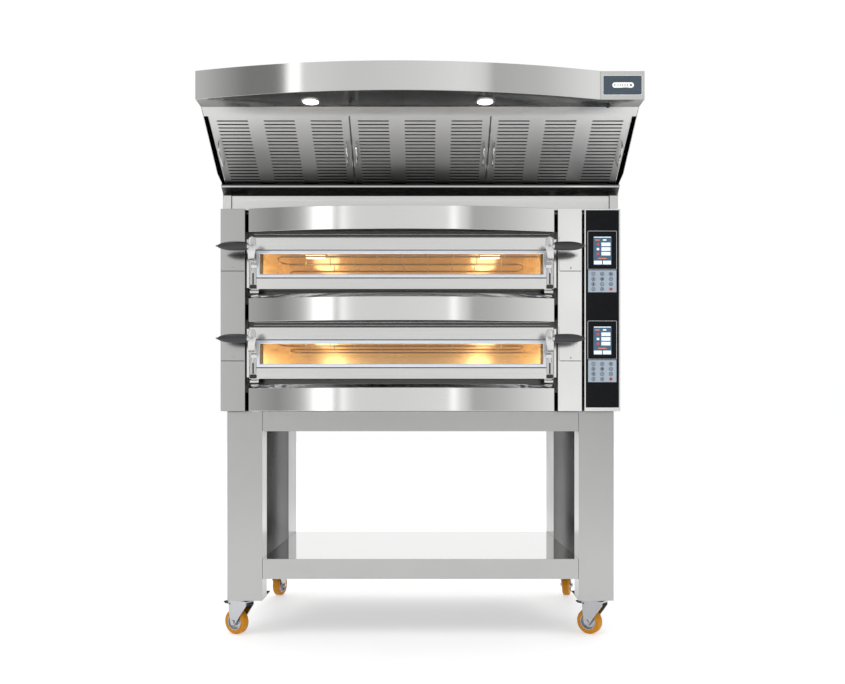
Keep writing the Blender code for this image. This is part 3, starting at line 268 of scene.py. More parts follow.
def glowing(name, colour, strength):
    """A lamp or a lit patch of a screen, a little uneven as a real one is."""
    finish, tree, shader = blank(name)
    place = wire(tree, "ShaderNodeTexCoord").outputs["Object"]
    speck = wire(tree, "ShaderNodeTexNoise", {"Vector": place, "Scale": 60.0}).outputs[0]
    dim = tuple(channel * 0.9 for channel in colour)
    shade = ramp(tree, speck, ((0.3, dim), (0.7, colour)))
    tree.links.new(shade, shader.inputs["Base Color"])
    tree.links.new(shade, shader.inputs["Emission Color"])
    socket(shader, Emission_Strength=strength, Roughness=0.3)
    return finish


def clear(name, colour, roughness=0.02):
    """Glass that is seen through, with faint cleaning marks in its roughness."""
    finish, tree, shader = blank(name)
    place = wire(tree, "ShaderNodeTexCoord").outputs["Object"]
    marks = wire(tree, "ShaderNodeTexNoise", {"Vector": place, "Scale": 9.0, "Detail": 5.0}).outputs[0]
    rough = wire(tree, "ShaderNodeMapRange", {"Value": marks, "To Min": roughness * 0.4,
                                              "To Max": roughness})
    tree.links.new(rough.outputs[0], shader.inputs["Roughness"])
    socket(shader, Base_Color=(*colour, 1.0), Transmission_Weight=1.0, IOR=1.45)
    return finish


METALS = {  # colour, roughness and what differs from a plain brushed sheet
    "brushed_steel": ((0.68, 0.68, 0.67), 0.20),
    "bowed_steel": ((0.74, 0.74, 0.73), 0.065, dict(cloud=0.015, grain=0.015, tone=0.03, bump=0.02)),
    "door_steel": ((0.73, 0.73, 0.72), 0.17),
    # Both column covers are one steel: the darker copy on the left is painted shade, and the lighter copy on the
    # right, the control housing and the door cheeks is painted light.
    "upright_steel": ((0.45, 0.45, 0.445), 0.17, dict(along="Z")),
    "upright_light": ((0.79, 0.79, 0.78), 0.17, dict(along="Z")),
    # The filters' tone falls towards the gutter: painted shade under the hood.
    "filter_steel": ((0.66, 0.66, 0.65), 0.34, dict(bump=0.0, tone=0.03, fade=(1.735, 1.925, 0.12))),
    # Darkened steel as painted shade, for the hood's soffit and the underside of its end box.
    "soffit_steel": ((0.21, 0.21, 0.21), 0.18),
    # Near-black steel that paints the shade in the filter slots and inside the hood.
    "slot_dark": ((0.030, 0.030, 0.030), 0.55, dict(bump=0.0)),
    "shadow_steel": ((0.095, 0.095, 0.095), 0.25),
    "stand_steel": ((0.44, 0.44, 0.435), 0.22, dict(along="Z")),
    # The rear legs get a darker copy of the stand steel as painted shade.
    "rear_leg_steel": ((0.24, 0.24, 0.24), 0.22, dict(along="Z")),
    "shelf_steel": ((0.83, 0.83, 0.82), 0.07, dict(tone=0.03, cloud=0.02, grain=0.02, bump=0.02)),
    "trim_aluminium": ((0.80, 0.84, 0.90), 0.36, dict(grain=0.03, tone=0.03)),
    "lever_chrome": ((0.60, 0.60, 0.595), 0.05, dict(along="Z", grain=0.02)),
    "caster_zinc": ((0.50, 0.51, 0.53), 0.20, dict(along="Z", grain=0.04, cloud=0.10, tone=0.10)),
    "dark_zinc": ((0.10, 0.10, 0.11), 0.35, dict(along="Z")),
    "chamber_steel": ((0.88, 0.73, 0.48), 0.24, dict(cloud=0.06, tone=0.08)),
    "chamber_wall": ((0.88, 0.73, 0.48), 0.26, dict(cloud=0.06, tone=0.08)),
    "element_sheath": ((0.62, 0.50, 0.34), 0.40, dict(cloud=0.10, tone=0.30)),
}
MOTTLED = {  # dark tone, light tone, specks to the metre, roughness and what else differs
    "baking_stone": ((0.34, 0.22, 0.12), (0.46, 0.32, 0.19), 240, 0.85, dict(bump=0.6)),
    "motor_black": ((0.05, 0.05, 0.055), (0.075, 0.075, 0.08), 400, 0.5),
    "grip_black": ((0.016, 0.016, 0.017), (0.028, 0.028, 0.030), 500, 0.34, dict(Specular_IOR_Level=0.5)),
    "rubber": ((0.012, 0.012, 0.012), (0.022, 0.022, 0.022), 700, 0.65),
    "ceramic": ((0.80, 0.76, 0.70), (0.90, 0.87, 0.82), 300, 0.5),
    "tyre_amber": ((0.44, 0.165, 0.002), (0.60, 0.245, 0.004), 160, 0.38,
                   dict(bump=0.1, Specular_IOR_Level=0.25)),
    "hub_grey": ((0.40, 0.41, 0.44), (0.52, 0.53, 0.56), 220, 0.30, dict(Metallic=0.8)),
    "black_glass": ((0.003, 0.0033, 0.0045), (0.0045, 0.005, 0.006), 30, 0.16,
                    dict(bump=0.0, Specular_IOR_Level=0.12)),
    "keypad": ((0.29, 0.35, 0.42), (0.34, 0.40, 0.47), 350, 0.42),
    "key_line": ((0.014, 0.017, 0.022), (0.022, 0.026, 0.032), 350, 0.5, dict(Specular_IOR_Level=0.2)),
    "key_red": ((0.62, 0.06, 0.05), (0.70, 0.09, 0.07), 350, 0.5),
    "slate_panel": ((0.040, 0.058, 0.078), (0.050, 0.071, 0.093), 300, 0.40, dict(Specular_IOR_Level=0.3)),
    "white_plastic": ((0.80, 0.80, 0.79), (0.88, 0.88, 0.87), 300, 0.35),
}
GLOWING = {  # colour, strength
    "screen_blue": ((0.040, 0.085, 0.145), 0.35),
    "screen_white": ((0.62, 0.70, 0.78), 0.45),
    "screen_orange": ((0.55, 0.16, 0.07), 0.4),
    "screen_red": ((0.42, 0.05, 0.05), 0.4),
    "lamp_lens": ((1.0, 0.99, 0.96), 5.0),
    "chamber_lamp": ((1.0, 0.84, 0.56), 2.2),
}


def finishes(recipe, rows):
    """Mix one recipe for every row of a table; a row may end with a dictionary of extra numbers."""
    for name, row in rows.items():
        extra = row[-1] if isinstance(row[-1], dict) else {}
        FINISH[name] = recipe(name, *(row[:-1] if extra else row), **extra)


FINISH = {"window_glass": clear("window_glass", (1.0, 0.96, 0.88))}
finishes(metal, METALS)
finishes(mottled, MOTTLED)
finishes(glowing, GLOWING)
WALL_GLOW = 0.17          # stands for the many bounces of lamplight inside a chamber
socket(FINISH["chamber_wall"].node_tree.nodes["Principled BSDF"], Emission_Color=(1.0, 0.50, 0.12, 1.0),
       Emission_Strength=WALL_GLOW)
print(len(FINISH), "finishes")


# %% [markdown]
# ## From arrays to pieces
# Nearly every new piece is a grid of points: rows along one direction, columns along the other.
# One function turns a grid into a closed mesh, and the others only work out the points.

# %% Grid to mesh
SMOOTH_ANGLE = radians(32)
MERGE = 1e-6


def grid_mesh(name, points, closed_rows=False, capped=True):
    """Faces between neighbouring rows and columns of a (rows, columns, 3) array.

    The columns always close round on themselves. The rows close too if asked, and otherwise the
    first and the last row are filled with one face each. Points on the same spot are merged."""
    points = np.asarray(points, float)
    rows, columns = points.shape[:2]
    index = np.arange(rows * columns).reshape(rows, columns)
    low = index if closed_rows else index[:-1]
    high = np.roll(index, -1, axis=0) if closed_rows else index[1:]
    quads = np.stack([low, np.roll(low, -1, axis=1), np.roll(high, -1, axis=1), high], axis=-1)
    faces = quads.reshape(-1, 4).tolist()
    if capped and not closed_rows:
        faces += [index[0].tolist(), index[-1].tolist()]
    mesh = bpy.data.meshes.new(name)
    mesh.from_pydata(points.reshape(-1, 3).tolist(), [], faces)
    return tidy_mesh(mesh)


def tidy_mesh(mesh, merge=MERGE, flatten=0.0):
    """Merge doubles, drop faces without area, melt flat neighbours and turn all faces outwards."""
    shape = bmesh.new()
    shape.from_mesh(mesh)
    bmesh.ops.remove_doubles(shape, verts=shape.verts, dist=merge)
    bmesh.ops.dissolve_degenerate(shape, dist=merge, edges=shape.edges)
    if flatten:
        bmesh.ops.dissolve_limit(shape, angle_limit=flatten, verts=shape.verts, edges=shape.edges)
    bmesh.ops.recalc_face_normals(shape, faces=shape.faces)
    shape.to_mesh(mesh)
    shape.free()
    if "custom_normal" in mesh.attributes:
        mesh.attributes.remove(mesh.attributes["custom_normal"])
    mesh.shade_smooth()
    mesh.set_sharp_from_angle(angle=SMOOTH_ANGLE)
    return mesh


def piece(name, mesh, finish, body, edge=0.0, replaces=(), segments=2):
    """Link a mesh as a finished piece: material, body and softly rounded sharp edges."""
    item = bpy.data.objects.new(name, mesh)
    bpy.context.collection.objects.link(item)
    mesh.materials.clear()
    mesh.materials.append(FINISH[finish])
    if edge:
        soft = item.modifiers.new("soft_edges", "BEVEL")
        soft.width = edge
        soft.segments = segments
        soft.limit_method = "ANGLE"
        soft.angle_limit = SMOOTH_ANGLE + radians(3)
        soft.harden_normals = True
    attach(item, body)
    if replaces:
        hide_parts(*replaces)
    return item


def joined(name, meshes):
    """Several meshes as one, for groups of small fittings that share a finish."""
    shape = bmesh.new()
    for mesh in meshes:
        shape.from_mesh(mesh)
        bpy.data.meshes.remove(mesh)
    made = bpy.data.meshes.new(name)
    shape.to_mesh(made)
    shape.free()
    made.shade_smooth()
    made.set_sharp_from_angle(angle=SMOOTH_ANGLE)
    return made


# %% [markdown]
# ## Shapes by formula
# Five ways of working out points cover the oven: an outline pushed along an axis, a profile
# turned round one, a closed loop turned round one, a ring carried along a path, and a section led
# round a rectangle as a picture frame is.

# %% Points by formula
ORDER = {"X": (2, 0, 1), "Y": (0, 2, 1), "Z": (0, 1, 2)}


def extruded(outline, axis, low, high):
    """The outline, in the two other coordinates, at the low and at the high end of the axis."""
    outline = np.asarray(outline, float)
    flat = np.broadcast_to(outline, (2, *outline.shape))
    along = np.broadcast_to(np.array([[[low]], [[high]]], float), (2, len(outline), 1))
    return grid_mesh("extruded", np.concatenate([flat, along], axis=2)[..., list(ORDER[axis])])


def turned(profile, axis="Z", at=(0, 0, 0), sides=48):
    """Points (radius, height) carried round the axis: radius times cosine and sine of the angle."""
    profile = np.asarray(profile, float)
    angle = np.linspace(0, 2 * pi, sides, endpoint=False)
    radius, height = profile[:, :1], np.broadcast_to(profile[:, 1:], (len(profile), sides))
    ring = np.stack([radius * np.cos(angle), radius * np.sin(angle), height], axis=-1)
    place = {"X": (2, 0, 1), "Y": (1, 2, 0), "Z": (0, 1, 2)}[axis]
    return grid_mesh("turned", ring[..., list(place)] + np.array(at, float))


def looped(loop, centre, axis, sides=64):
    """A closed (radius, along) loop turned about any level or upright axis through a centre."""
    loop = np.asarray(loop, float)
    axis = np.array(axis, float) / np.linalg.norm(axis)
    upright = abs(axis[2]) > 0.9
    up = np.array((0.0, 1.0, 0.0) if upright else (0.0, 0.0, 1.0))
    side = np.array((1.0, 0.0, 0.0)) if upright else np.cross(axis, up)
    angle = np.linspace(0, 2 * pi, sides, endpoint=False)[:, None, None]
    spoke = np.cos(angle) * side + np.sin(angle) * up
    points = np.array(centre, float) + loop[None, :, :1] * spoke + loop[None, :, 1:] * axis
    return grid_mesh("looped", points, closed_rows=True)


def arc(centre, radius, start, end, steps=6):
    """Points on a circle from one angle to another, in degrees."""
    angle = np.radians(np.linspace(start, end, steps))
    return np.stack([centre[0] + radius * np.cos(angle), centre[1] + radius * np.sin(angle)], axis=1)


def round_rectangle(x, y, radius, steps=6):
    """Four quarter circles, joined by the straight sides between them."""
    corners = ((x[1] - radius, y[1] - radius, 0), (x[0] + radius, y[1] - radius, 90),
               (x[0] + radius, y[0] + radius, 180), (x[1] - radius, y[0] + radius, 270))
    return np.concatenate([arc((cx, cy), radius, start, start + 90, steps) for cx, cy, start in corners])


def carried(path, ring, normal):
    """A flat ring (side, out) carried along a path that lies in one plane with the given normal."""
    path = np.asarray(path, float)
    ahead = np.gradient(path, axis=0)
    ahead /= np.linalg.norm(ahead, axis=1, keepdims=True)
    side = np.broadcast_to(np.array(normal, float), path.shape)
    out = np.cross(ahead, side)
    ring = np.asarray(ring, float)
    if ring.ndim == 2:
        ring = np.broadcast_to(ring, (len(path), *ring.shape))
    points = path[:, None] + ring[..., :1] * side[:, None] + ring[..., 1:] * out[:, None]
    return grid_mesh("carried", points)


def circle(radius, sides=12):
    """A ring of points round the origin."""
    return arc((0, 0), radius, 0, 360 * (1 - 1 / sides), sides)


def framed(x, z, section, radius=0.0, steps=5):
    """A section (inset, y) led round a rectangle in X and Z with round corners, like a picture frame."""
    rows = []
    for inset, y in section:
        round_off = max(radius - inset, 0.0002)
        line = round_rectangle((x[0] + inset, x[1] - inset), (z[0] + inset, z[1] - inset), round_off, steps)
        rows.append(np.stack([line[:, 0], np.full(len(line), y), line[:, 1]], axis=1))
    return grid_mesh("framed", np.array(rows), closed_rows=True)


def spline(points, steps):
    """A smooth line through given points: cubic pieces with the slope of their neighbours' chord."""
    points = np.asarray(points, float)
    padded = np.concatenate([2 * points[:1] - points[1:2], points, 2 * points[-1:] - points[-2:-1]])
    where = np.linspace(0, len(points) - 1, steps)
    first = np.minimum(where.astype(int), len(points) - 2)
    t = (where - first)[:, None]
    a, b, c, d = (padded[first + i] for i in range(4))
    return 0.5 * (2 * b + (c - a) * t + (2 * a - 5 * b + 4 * c - d) * t**2 + (3 * b - a - 3 * c + d) * t**3)


def bar(x, y, z):
    """A straight bar between three pairs of coordinates."""
    return extruded(((x[0], y[0]), (x[1], y[0]), (x[1], y[1]), (x[0], y[1])), "Z", *z)


# %% [markdown]
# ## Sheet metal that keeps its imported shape
# Casings, cheeks, beams and covers already have the right shape. What they lack is what a press
# brake gives: no edge is perfectly sharp, and each one catches a thin line of light. A copy of
# the node is welded, its flat triangles are melted into whole faces, and a fine bevel runs along
# the edges. The copy stands in for the node on screen.

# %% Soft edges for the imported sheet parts
SHEET_NODES = {
    "brushed_steel": ("side_panel_left", "side_panel_right", "casing_cover", "base_pan", "hood_shell",
                      "hood_control_box", "duct_collar"),
    "soffit_steel": ("hood_soffit",),
    "shadow_steel": ("hood_gutter", "fan_impeller"),
    "upright_steel": ("column_cover_left",),
    "upright_light": ("column_cover_right", "control_housing"),
    "stand_steel": ("leg_front_left", "leg_front_right"),
    "rear_leg_steel": ("leg_rear_left", "leg_rear_right"),
    "filter_steel": ("grease_filter_left", "grease_filter_centre", "grease_filter_right"),
    "shelf_steel": ("shelf",),
    "chamber_wall": ("chamber_upper", "chamber_lower"),
    "element_sheath": ("heating_element_upper", "heating_element_lower"),
    "baking_stone": ("baking_stone_upper", "baking_stone_lower"),
    "motor_black": ("fan_motor",),
    "caster_zinc": ("caster_fork_front_left", "caster_fork_front_right", "caster_fork_rear_left",
                    "caster_fork_rear_right", "brake_pedal_left", "brake_pedal_right"),
}
SHEET_EDGE = 0.0007       # radius of a folded edge, unless its finish is listed below
EDGE_OF = {"stand_steel": 0.0009, "upright_steel": 0.0009, "upright_light": 0.0009, "filter_steel": 0.0,
           "baking_stone": 0.0015, "element_sheath": 0.0010, "caster_zinc": 0.0008}
FLAT_ANGLE = radians(0.5)
INNER_SKIN = 0.020        # faces this near the hood's outside that look inwards are its lining
WELD = 2e-5


def softened(node, finish, edge=SHEET_EDGE):
    """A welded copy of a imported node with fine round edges, standing for the node.

    A sheet without round edges keeps its triangles: a face with sixty slots doesn't melt cleanly."""
    mesh = frame["nodes"][node].data.copy()
    tidy_mesh(mesh, merge=WELD, flatten=FLAT_ANGLE if edge else 0.0)
    return piece(node + "_sheet", mesh, finish, BODY_OF[node], edge, replaces=(node,))


SHEETS = {}
for finish_name, node_names in SHEET_NODES.items():
    for node_name in node_names:
        SHEETS[node_name] = softened(node_name, finish_name, EDGE_OF.get(finish_name, SHEET_EDGE))
SHEETS["top_frame"] = softened("top_frame", "stand_steel")


def face_values(mesh, name):
    """Centres or normals of all faces as rows."""
    values = np.empty(len(mesh.polygons) * 3)
    mesh.polygons.foreach_get(name, values)
    return values.reshape(-1, 3)


def second_finish(node, finish, chosen):
    """Give the chosen faces of a softened sheet another finish and leave the rest as they are."""
    mesh = SHEETS[node].data
    mesh.materials.append(FINISH[finish])
    now = np.empty(len(mesh.polygons), np.int32)
    mesh.polygons.foreach_get("material_index", now)
    now[chosen] = len(mesh.materials) - 1
    mesh.polygons.foreach_set("material_index", now)


# The shelf's top gets a lighter, smoother steel and its other faces the darker stand steel; the top's lighter tone
# is painted light.
second_finish("shelf", "stand_steel", face_values(SHEETS["shelf"].data, "normal")[:, 2] < 0.9)
rail = face_values(SHEETS["hood_soffit"].data, "normal")
second_finish("hood_soffit", "filter_steel", (np.abs(rail[:, 1]) > 0.3) & (rail[:, 2] < -0.3))
for deck in DECKS:
    low, high = box("chamber_" + deck)
    centres = face_values(SHEETS["chamber_" + deck].data, "center")
    inwards = face_values(SHEETS["chamber_" + deck].data, "normal") * ((low + high) / 2 - centres)
    second_finish("chamber_" + deck, "shadow_steel",
                  (centres[:, 1] < low[1] + 0.010) | (inwards.sum(axis=1) < 0))
low, high = box("hood_shell")
centres = face_values(SHEETS["hood_shell"].data, "center")
normals = face_values(SHEETS["hood_shell"].data, "normal")
ceiling = (normals[:, 2] < -0.9) & (centres[:, 2] > high[2] - INNER_SKIN)
rear_wall = (normals[:, 1] < -0.9) & (centres[:, 1] > high[1] - INNER_SKIN)
behind_splash = (normals[:, 1] > 0.9) & (centres[:, 1] < 0)
# The hood's ceiling, rear wall and the back of its splash inside get near-black painted shade.
second_finish("hood_shell", "slot_dark", ceiling | rear_wall | behind_splash)
# The end box's downward faces get the darkened steel: painted shade.
second_finish("hood_control_box", "soffit_steel",
              face_values(SHEETS["hood_control_box"].data, "normal")[:, 2] < -0.9)
print(len(SHEETS), "sheet parts softened")

# %% [markdown]
# ## Bowed fronts
# The hood's front and the three fascias are sheets rolled to a shallow bow, and their long
# reflections show any flat facet at once. So they aren't copied: in plan the front is a parabola,
# and a short section is carried along it. Each section point says how far it sits between the
# bow (0) and the straight back (1), so one rule serves the front, the top and the back.

# %% Bowed fronts
BOW_STATIONS = 96
FASCIA_BOW = 0.060
HOOD_BOW = 0.089
SILL = 0.016
SHEET = 0.002


def bowed(x, ends_y, rise, back, section):
    """At each station: y = (1 - w) * parabola + w * back + shift, for section points (w, shift, z)."""
    share = np.linspace(-1, 1, BOW_STATIONS)[:, None]
    front = ends_y - rise * (1 - share**2)
    w, shift, z = np.array(section, float).T
    across = (x[0] + x[1]) / 2 + (x[1] - x[0]) / 2 * share
    y = (1 - w) * front + w * back + shift
    points = np.stack([np.broadcast_to(across, y.shape), y, np.broadcast_to(z, y.shape)], axis=-1)
    return grid_mesh("bowed", points)


for part, lip in (("top", 0.0), ("middle", SILL), ("bottom", SILL)):
    low, high = box("fascia_" + part)
    ends = low[1] + FASCIA_BOW
    section = [(0, 0, low[2]), (0, 0, high[2] - lip), (0, lip, high[2]), (1, 0, high[2]), (1, 0, low[2])]
    if not lip:
        section.pop(1)
    piece("fascia_%s_front" % part, bowed((low[0], high[0]), ends, FASCIA_BOW, high[1], section),
          "bowed_steel", "oven", 0.0010, replaces=("fascia_" + part,), segments=3)

low, high = box("hood_fascia")
section = [(0, 0, low[2]), (0, 0, high[2]), (1, 0, high[2]), (1, 0, high[2] - SHEET),
           (0, SHEET, high[2] - SHEET), (0, SHEET, low[2])]
piece("hood_fascia_front", bowed((low[0], high[0]), low[1] + HOOD_BOW, HOOD_BOW, high[1], section),
      "bowed_steel", "oven", 0.0008, replaces=("hood_fascia",), segments=3)
print("four bowed fronts of", BOW_STATIONS, "stations")

# %% [markdown]
# ## Filter louvres and handles
# Each filter is a punched sheet. The punch leaves a rolled lip under every slot, and that lip is
# the bright line below each dark one. All the lips of a filter are one array: a half-round
# section, tapered at its ends, repeated for each row and group by broadcasting. The handles are
# in the imported filter, so they only need a brighter finish on their own faces. The faces sunk
# into the slots get near-black painted shade, and a dark strip at each side edge paints the shadow
# of the gap between filters.

# %% Filter louvres and handles
UP_SLOPE = np.array(JOINT["filter_left_lift"]["axis"], float)
DOWN_SLOPE = -UP_SLOPE
OUT_OF_PLANE = np.array((0.0, DOWN_SLOPE[2], -DOWN_SLOPE[1]))
SOFFIT_REAR = -0.587
SOFFIT_LOW = box("hood_fascia")[0][2]
PLANE_TOP = np.array((0.0, SOFFIT_REAR, SOFFIT_LOW))
SLOPE_LENGTH = 0.36495
FIRST_ROW, LAST_ROW = 0.060, SLOPE_LENGTH - 0.012
ROWS, GROUPS = 20, 3
SLOT_BRIDGE = 0.0561
SLOT_HEIGHT = 0.005
LIP_REACH = 0.0006
FILTER_FACE = -0.0003
HANDLE_CLEAR = 0.0012
SLOT_WALL = -0.0008


def on_plane(x, down, out):
    """Points of the filter plane: sideways, down the slope and out of the plane."""
    x, down, out = np.broadcast_arrays(x, down, out)
    across = x[..., None] * np.array((1.0, 0, 0))
    return PLANE_TOP + across + down[..., None] * DOWN_SLOPE + out[..., None] * OUT_OF_PLANE


def louvre_lips(low_x, high_x):
    """Half-round ridges, each sine-shaped across the lip and fading over the ends of the slot."""
    pitch = (high_x - low_x) / GROUPS
    reach = (pitch - SLOT_BRIDGE) / 2
    rows = FIRST_ROW + np.arange(ROWS) * (LAST_ROW - FIRST_ROW) / (ROWS - 1)
    middles = low_x + pitch * (np.arange(GROUPS) + 0.5)
    across = np.array((-1.0, -0.97, 0.97, 1.0))
    height = np.array((0.0, 1.0, 1.0, 0.0))
    around = np.linspace(0, pi, 7)
    down = SLOT_HEIGHT / 2 + 0.0011 - 0.0010 * np.cos(around)
    out = np.sin(around) * LIP_REACH
    x = middles[:, None, None, None] + reach * across[:, None]
    d = rows[None, :, None, None] + down
    o = FILTER_FACE + height[:, None] * out
    points = on_plane(*np.broadcast_arrays(x, d, o)).reshape(-1, len(across), len(around), 3)
    return joined("lips", [grid_mesh("lip", lip) for lip in points])


for side in ("left", "centre", "right"):
    node = "grease_filter_" + side
    low, high = box(node)
    body = BODY_OF[node]
    piece("filter_lips_" + side, louvre_lips(low[0], high[0]), "filter_steel", body)
    proud = (face_values(SHEETS[node].data, "center") - PLANE_TOP) @ OUT_OF_PLANE > HANDLE_CLEAR
    second_finish(node, "lever_chrome", proud)
    # Faces sunk behind the filter's face get near-black painted shade.
    buried = (face_values(SHEETS[node].data, "center") - PLANE_TOP) @ OUT_OF_PLANE < SLOT_WALL
    second_finish(node, "slot_dark", buried)
    # At each side edge a dark rubber strip paints the shadow of the gap between filters, with a chrome strip
    # beside it.
    for edge_x, way in ((low[0], 1), (high[0], -1)):
        down = np.array((0.030, 0.030, SLOPE_LENGTH - 0.001, SLOPE_LENGTH - 0.001))
        out = np.array((FILTER_FACE, FILTER_FACE + 0.0006, FILTER_FACE + 0.0006, FILTER_FACE))
        for finish, start, wide in (("rubber", 0.0002, 0.0016), ("lever_chrome", 0.0020, 0.0012)):
            x = edge_x + way * np.array((start, start + wide))
            strip = grid_mesh("strip", on_plane(x[:, None], down[None], out[None]))
            piece("filter_%s_%s_%d_edge" % (side, finish, way + 1), strip, finish, body)
    print(node, "lips:", ROWS * GROUPS, "handle faces:", int(proud.sum()))

# %% [markdown]
# ## Hood fittings
# The end box carries a slate-blue control plate with a white pill and a row of level marks. The
# downlights are frosted lenses in bright rings. Two cover strips close the splash panel's ends,
# and a backdraft flap hangs closed in the duct collar; its dark steel is painted shade for the inside of the duct.

# %% Hood fittings
PLATE_PROUD = 0.0008
PLUG_INSET, PLUG_AHEAD = 0.036, 0.022
FLAP_RADIUS = 0.095
FLAP_DEPTH = 0.030        # backdraft flap below the collar's rim


def plate(name, x, z, y, thickness, radius, finish, body, edge=0.0002):
    """A flat plate with round corners whose front is thickness ahead of y."""
    return piece(name, extruded(round_rectangle(x, z, radius), "Y", y - thickness, y), finish, body, edge)


low, high = box("hood_control_box")
face = low[1]
panel_x = (low[0] + 0.010, high[0] - 0.010)
panel_z = (low[2] + 0.0165, high[2] - 0.0165)
plate("hood_panel_border", (panel_x[0] - 0.001, panel_x[1] + 0.001),
      (panel_z[0] - 0.001, panel_z[1] + 0.001), face, PLATE_PROUD / 2, 0.0045, "white_plastic", "oven")
plate("hood_panel", panel_x, panel_z, face, PLATE_PROUD, 0.0040, "slate_panel", "oven")
pill_x = (panel_x[0] + 0.030, panel_x[0] + 0.103)
middle_z = (panel_z[0] + panel_z[1]) / 2
plate("hood_pill", pill_x, (middle_z - 0.0090, middle_z + 0.0090), face - PLATE_PROUD, 0.0008, 0.0088,
      "white_plastic", "oven", 0)
dots = [(0.008, 0.0024), (0.019, 0.0020), (0.027, 0.0020), (0.035, 0.0020), (0.043, 0.0020),
        (0.051, 0.0022), (0.063, 0.0034)]
marks = [turned(((0, 0), (radius, 0), (radius, 0.0005), (0, 0.0005)), "Y",
                (pill_x[0] + along, face - PLATE_PROUD - 0.0012, middle_z), 20) for along, radius in dots]
marks.append(bar((pill_x[0] + 0.034, pill_x[0] + 0.056), (face - PLATE_PROUD - 0.0010, face - PLATE_PROUD),
                 (middle_z - 0.0075, middle_z - 0.0062)))
piece("hood_level_marks", joined("marks", marks), "key_line", "oven")

for side in ("left", "right"):
    low, high = box("spotlight_" + side)
    x, y, z = (low[0] + high[0]) / 2, (low[1] + high[1]) / 2, low[2]
    lens = [(0, 0), (0.020, 0.0002), (0.0265, 0.0012), (0.0265, 0.040), (0, 0.040)]
    piece("spotlight_lens_" + side, turned(lens, at=(x, y, z + 0.0004)), "lamp_lens", "oven", 0.0003,
          replaces=("spotlight_" + side,))
    ring = [(0.0268, 0.0035), (0.0268, 0.0010), (0.0285, 0.0002), (0.0315, 0.0004), (0.0335, 0.0020),
            (0.0335, 0.0035)]
    piece("spotlight_ring_" + side, looped(ring, (x, y, z), (0, 0, 1), 48), "lever_chrome", "oven")

low, high = box("hood_gutter")
splash_y = high[1] - 0.0022
for side, x in (("left", (low[0], low[0] + 0.031)), ("right", (high[0] - 0.031, high[0]))):
    strip = bar(x, (splash_y, splash_y + 0.0010), (box("hood_shell")[0][2] + 0.0005, low[2] + 0.002))
    piece("splash_strip_" + side, strip, "brushed_steel", "oven", 0.0003)
    inner = x[1] if side == "left" else x[0]
    joint = bar((inner - 0.0012, inner + 0.0012), (splash_y - 0.0002, splash_y + 0.0010),
                (box("hood_shell")[0][2] + 0.0005, low[2] + 0.002))
    piece("splash_joint_" + side, joint, "rubber", "oven")
lip = bar((low[0] + 0.001, high[0] - 0.001), (low[1] - 0.0008, low[1] + 0.0004),
          (high[2] - 0.0165, high[2] - 0.0105))
piece("gutter_lip", lip, "lever_chrome", "oven", 0.0003)
gland = [(0, 0), (0.006, 0), (0.006, 0.003), (0.0085, 0.004), (0.0085, 0.0085), (0, 0.0085)]
box_low = box("hood_control_box")[0]
piece("hood_plug", turned(gland, at=(box_low[0] + PLUG_INSET, SOFFIT_REAR - PLUG_AHEAD,
                                     SOFFIT_LOW - 0.0085)), "rubber", "oven", 0.0004)

low, high = box("duct_collar")
middle = (low + high) / 2
flap_z = high[2] - FLAP_DEPTH
flap = [(0, 0), (FLAP_RADIUS, 0), (FLAP_RADIUS, 0.0015), (0, 0.0015)]
# The flap's dark steel is painted shade for the inside of the duct.
piece("backdraft_flap", turned(flap, at=(middle[0], middle[1], flap_z), sides=64), "shadow_steel", "oven",
      0.0003)
spindle = [(0, 0), (0.004, 0), (0.004, 2 * FLAP_RADIUS), (0, 2 * FLAP_RADIUS)]
piece("flap_spindle", turned(spindle, "X", (middle[0] - FLAP_RADIUS, middle[1], flap_z + 0.004), 20),
      "caster_zinc", "oven")
print("hood fittings done")

# %% [markdown]
# ## Doors
# A door is built as its real layers: an inner box, a top rail and a bottom rail, two stiles and
# an aluminium trim round the window, with dark joints between them. The lever is a polished strap
# that curves forward from the door's face, and the grip is a turned black handle with a steel
# ferrule. Most of it rides on its door; the stay rods, the cheeks beside the door and the drip lines are fixed to
# the oven.

# %% Door constants
HINGE_INSET = 0.010
HINGE_DROP = 0.009
DOOR_DEPTH = 0.066
TRIM = 0.0128             # aluminium trim round the window
JOINT_WIDTH = 0.0034      # dark joints above and below the trim
GLASS_REBATE = 0.0097
PANE_LEDGE = 0.011        # the inner box stops this far short of the window
LEVER_INSET = 0.0287
FOOT_INSET = 0.0150
LEVER_REACH = 0.094
GRIP_RISE = 0.145
STRAP_THICKNESS = 0.005


def door_places(deck):
    """The measures that all the pieces of one door share."""
    hinge = np.array(JOINT["door_%s_hinge" % deck]["pos_m"], float)
    low, high = box("door_frame_" + deck)
    pane_low, pane_high = box("door_glass_" + deck)
    front = hinge[1] - HINGE_INSET
    return {
        "hinge": hinge, "x": (low[0], high[0]), "front": front, "back": front + DOOR_DEPTH,
        "z": (hinge[2] + HINGE_DROP, high[2]), "body": "door_" + deck,
        "hole_x": (pane_low[0] + GLASS_REBATE, pane_high[0] - GLASS_REBATE),
        "hole_z": (pane_low[2] + GLASS_REBATE, pane_high[2] - GLASS_REBATE)}


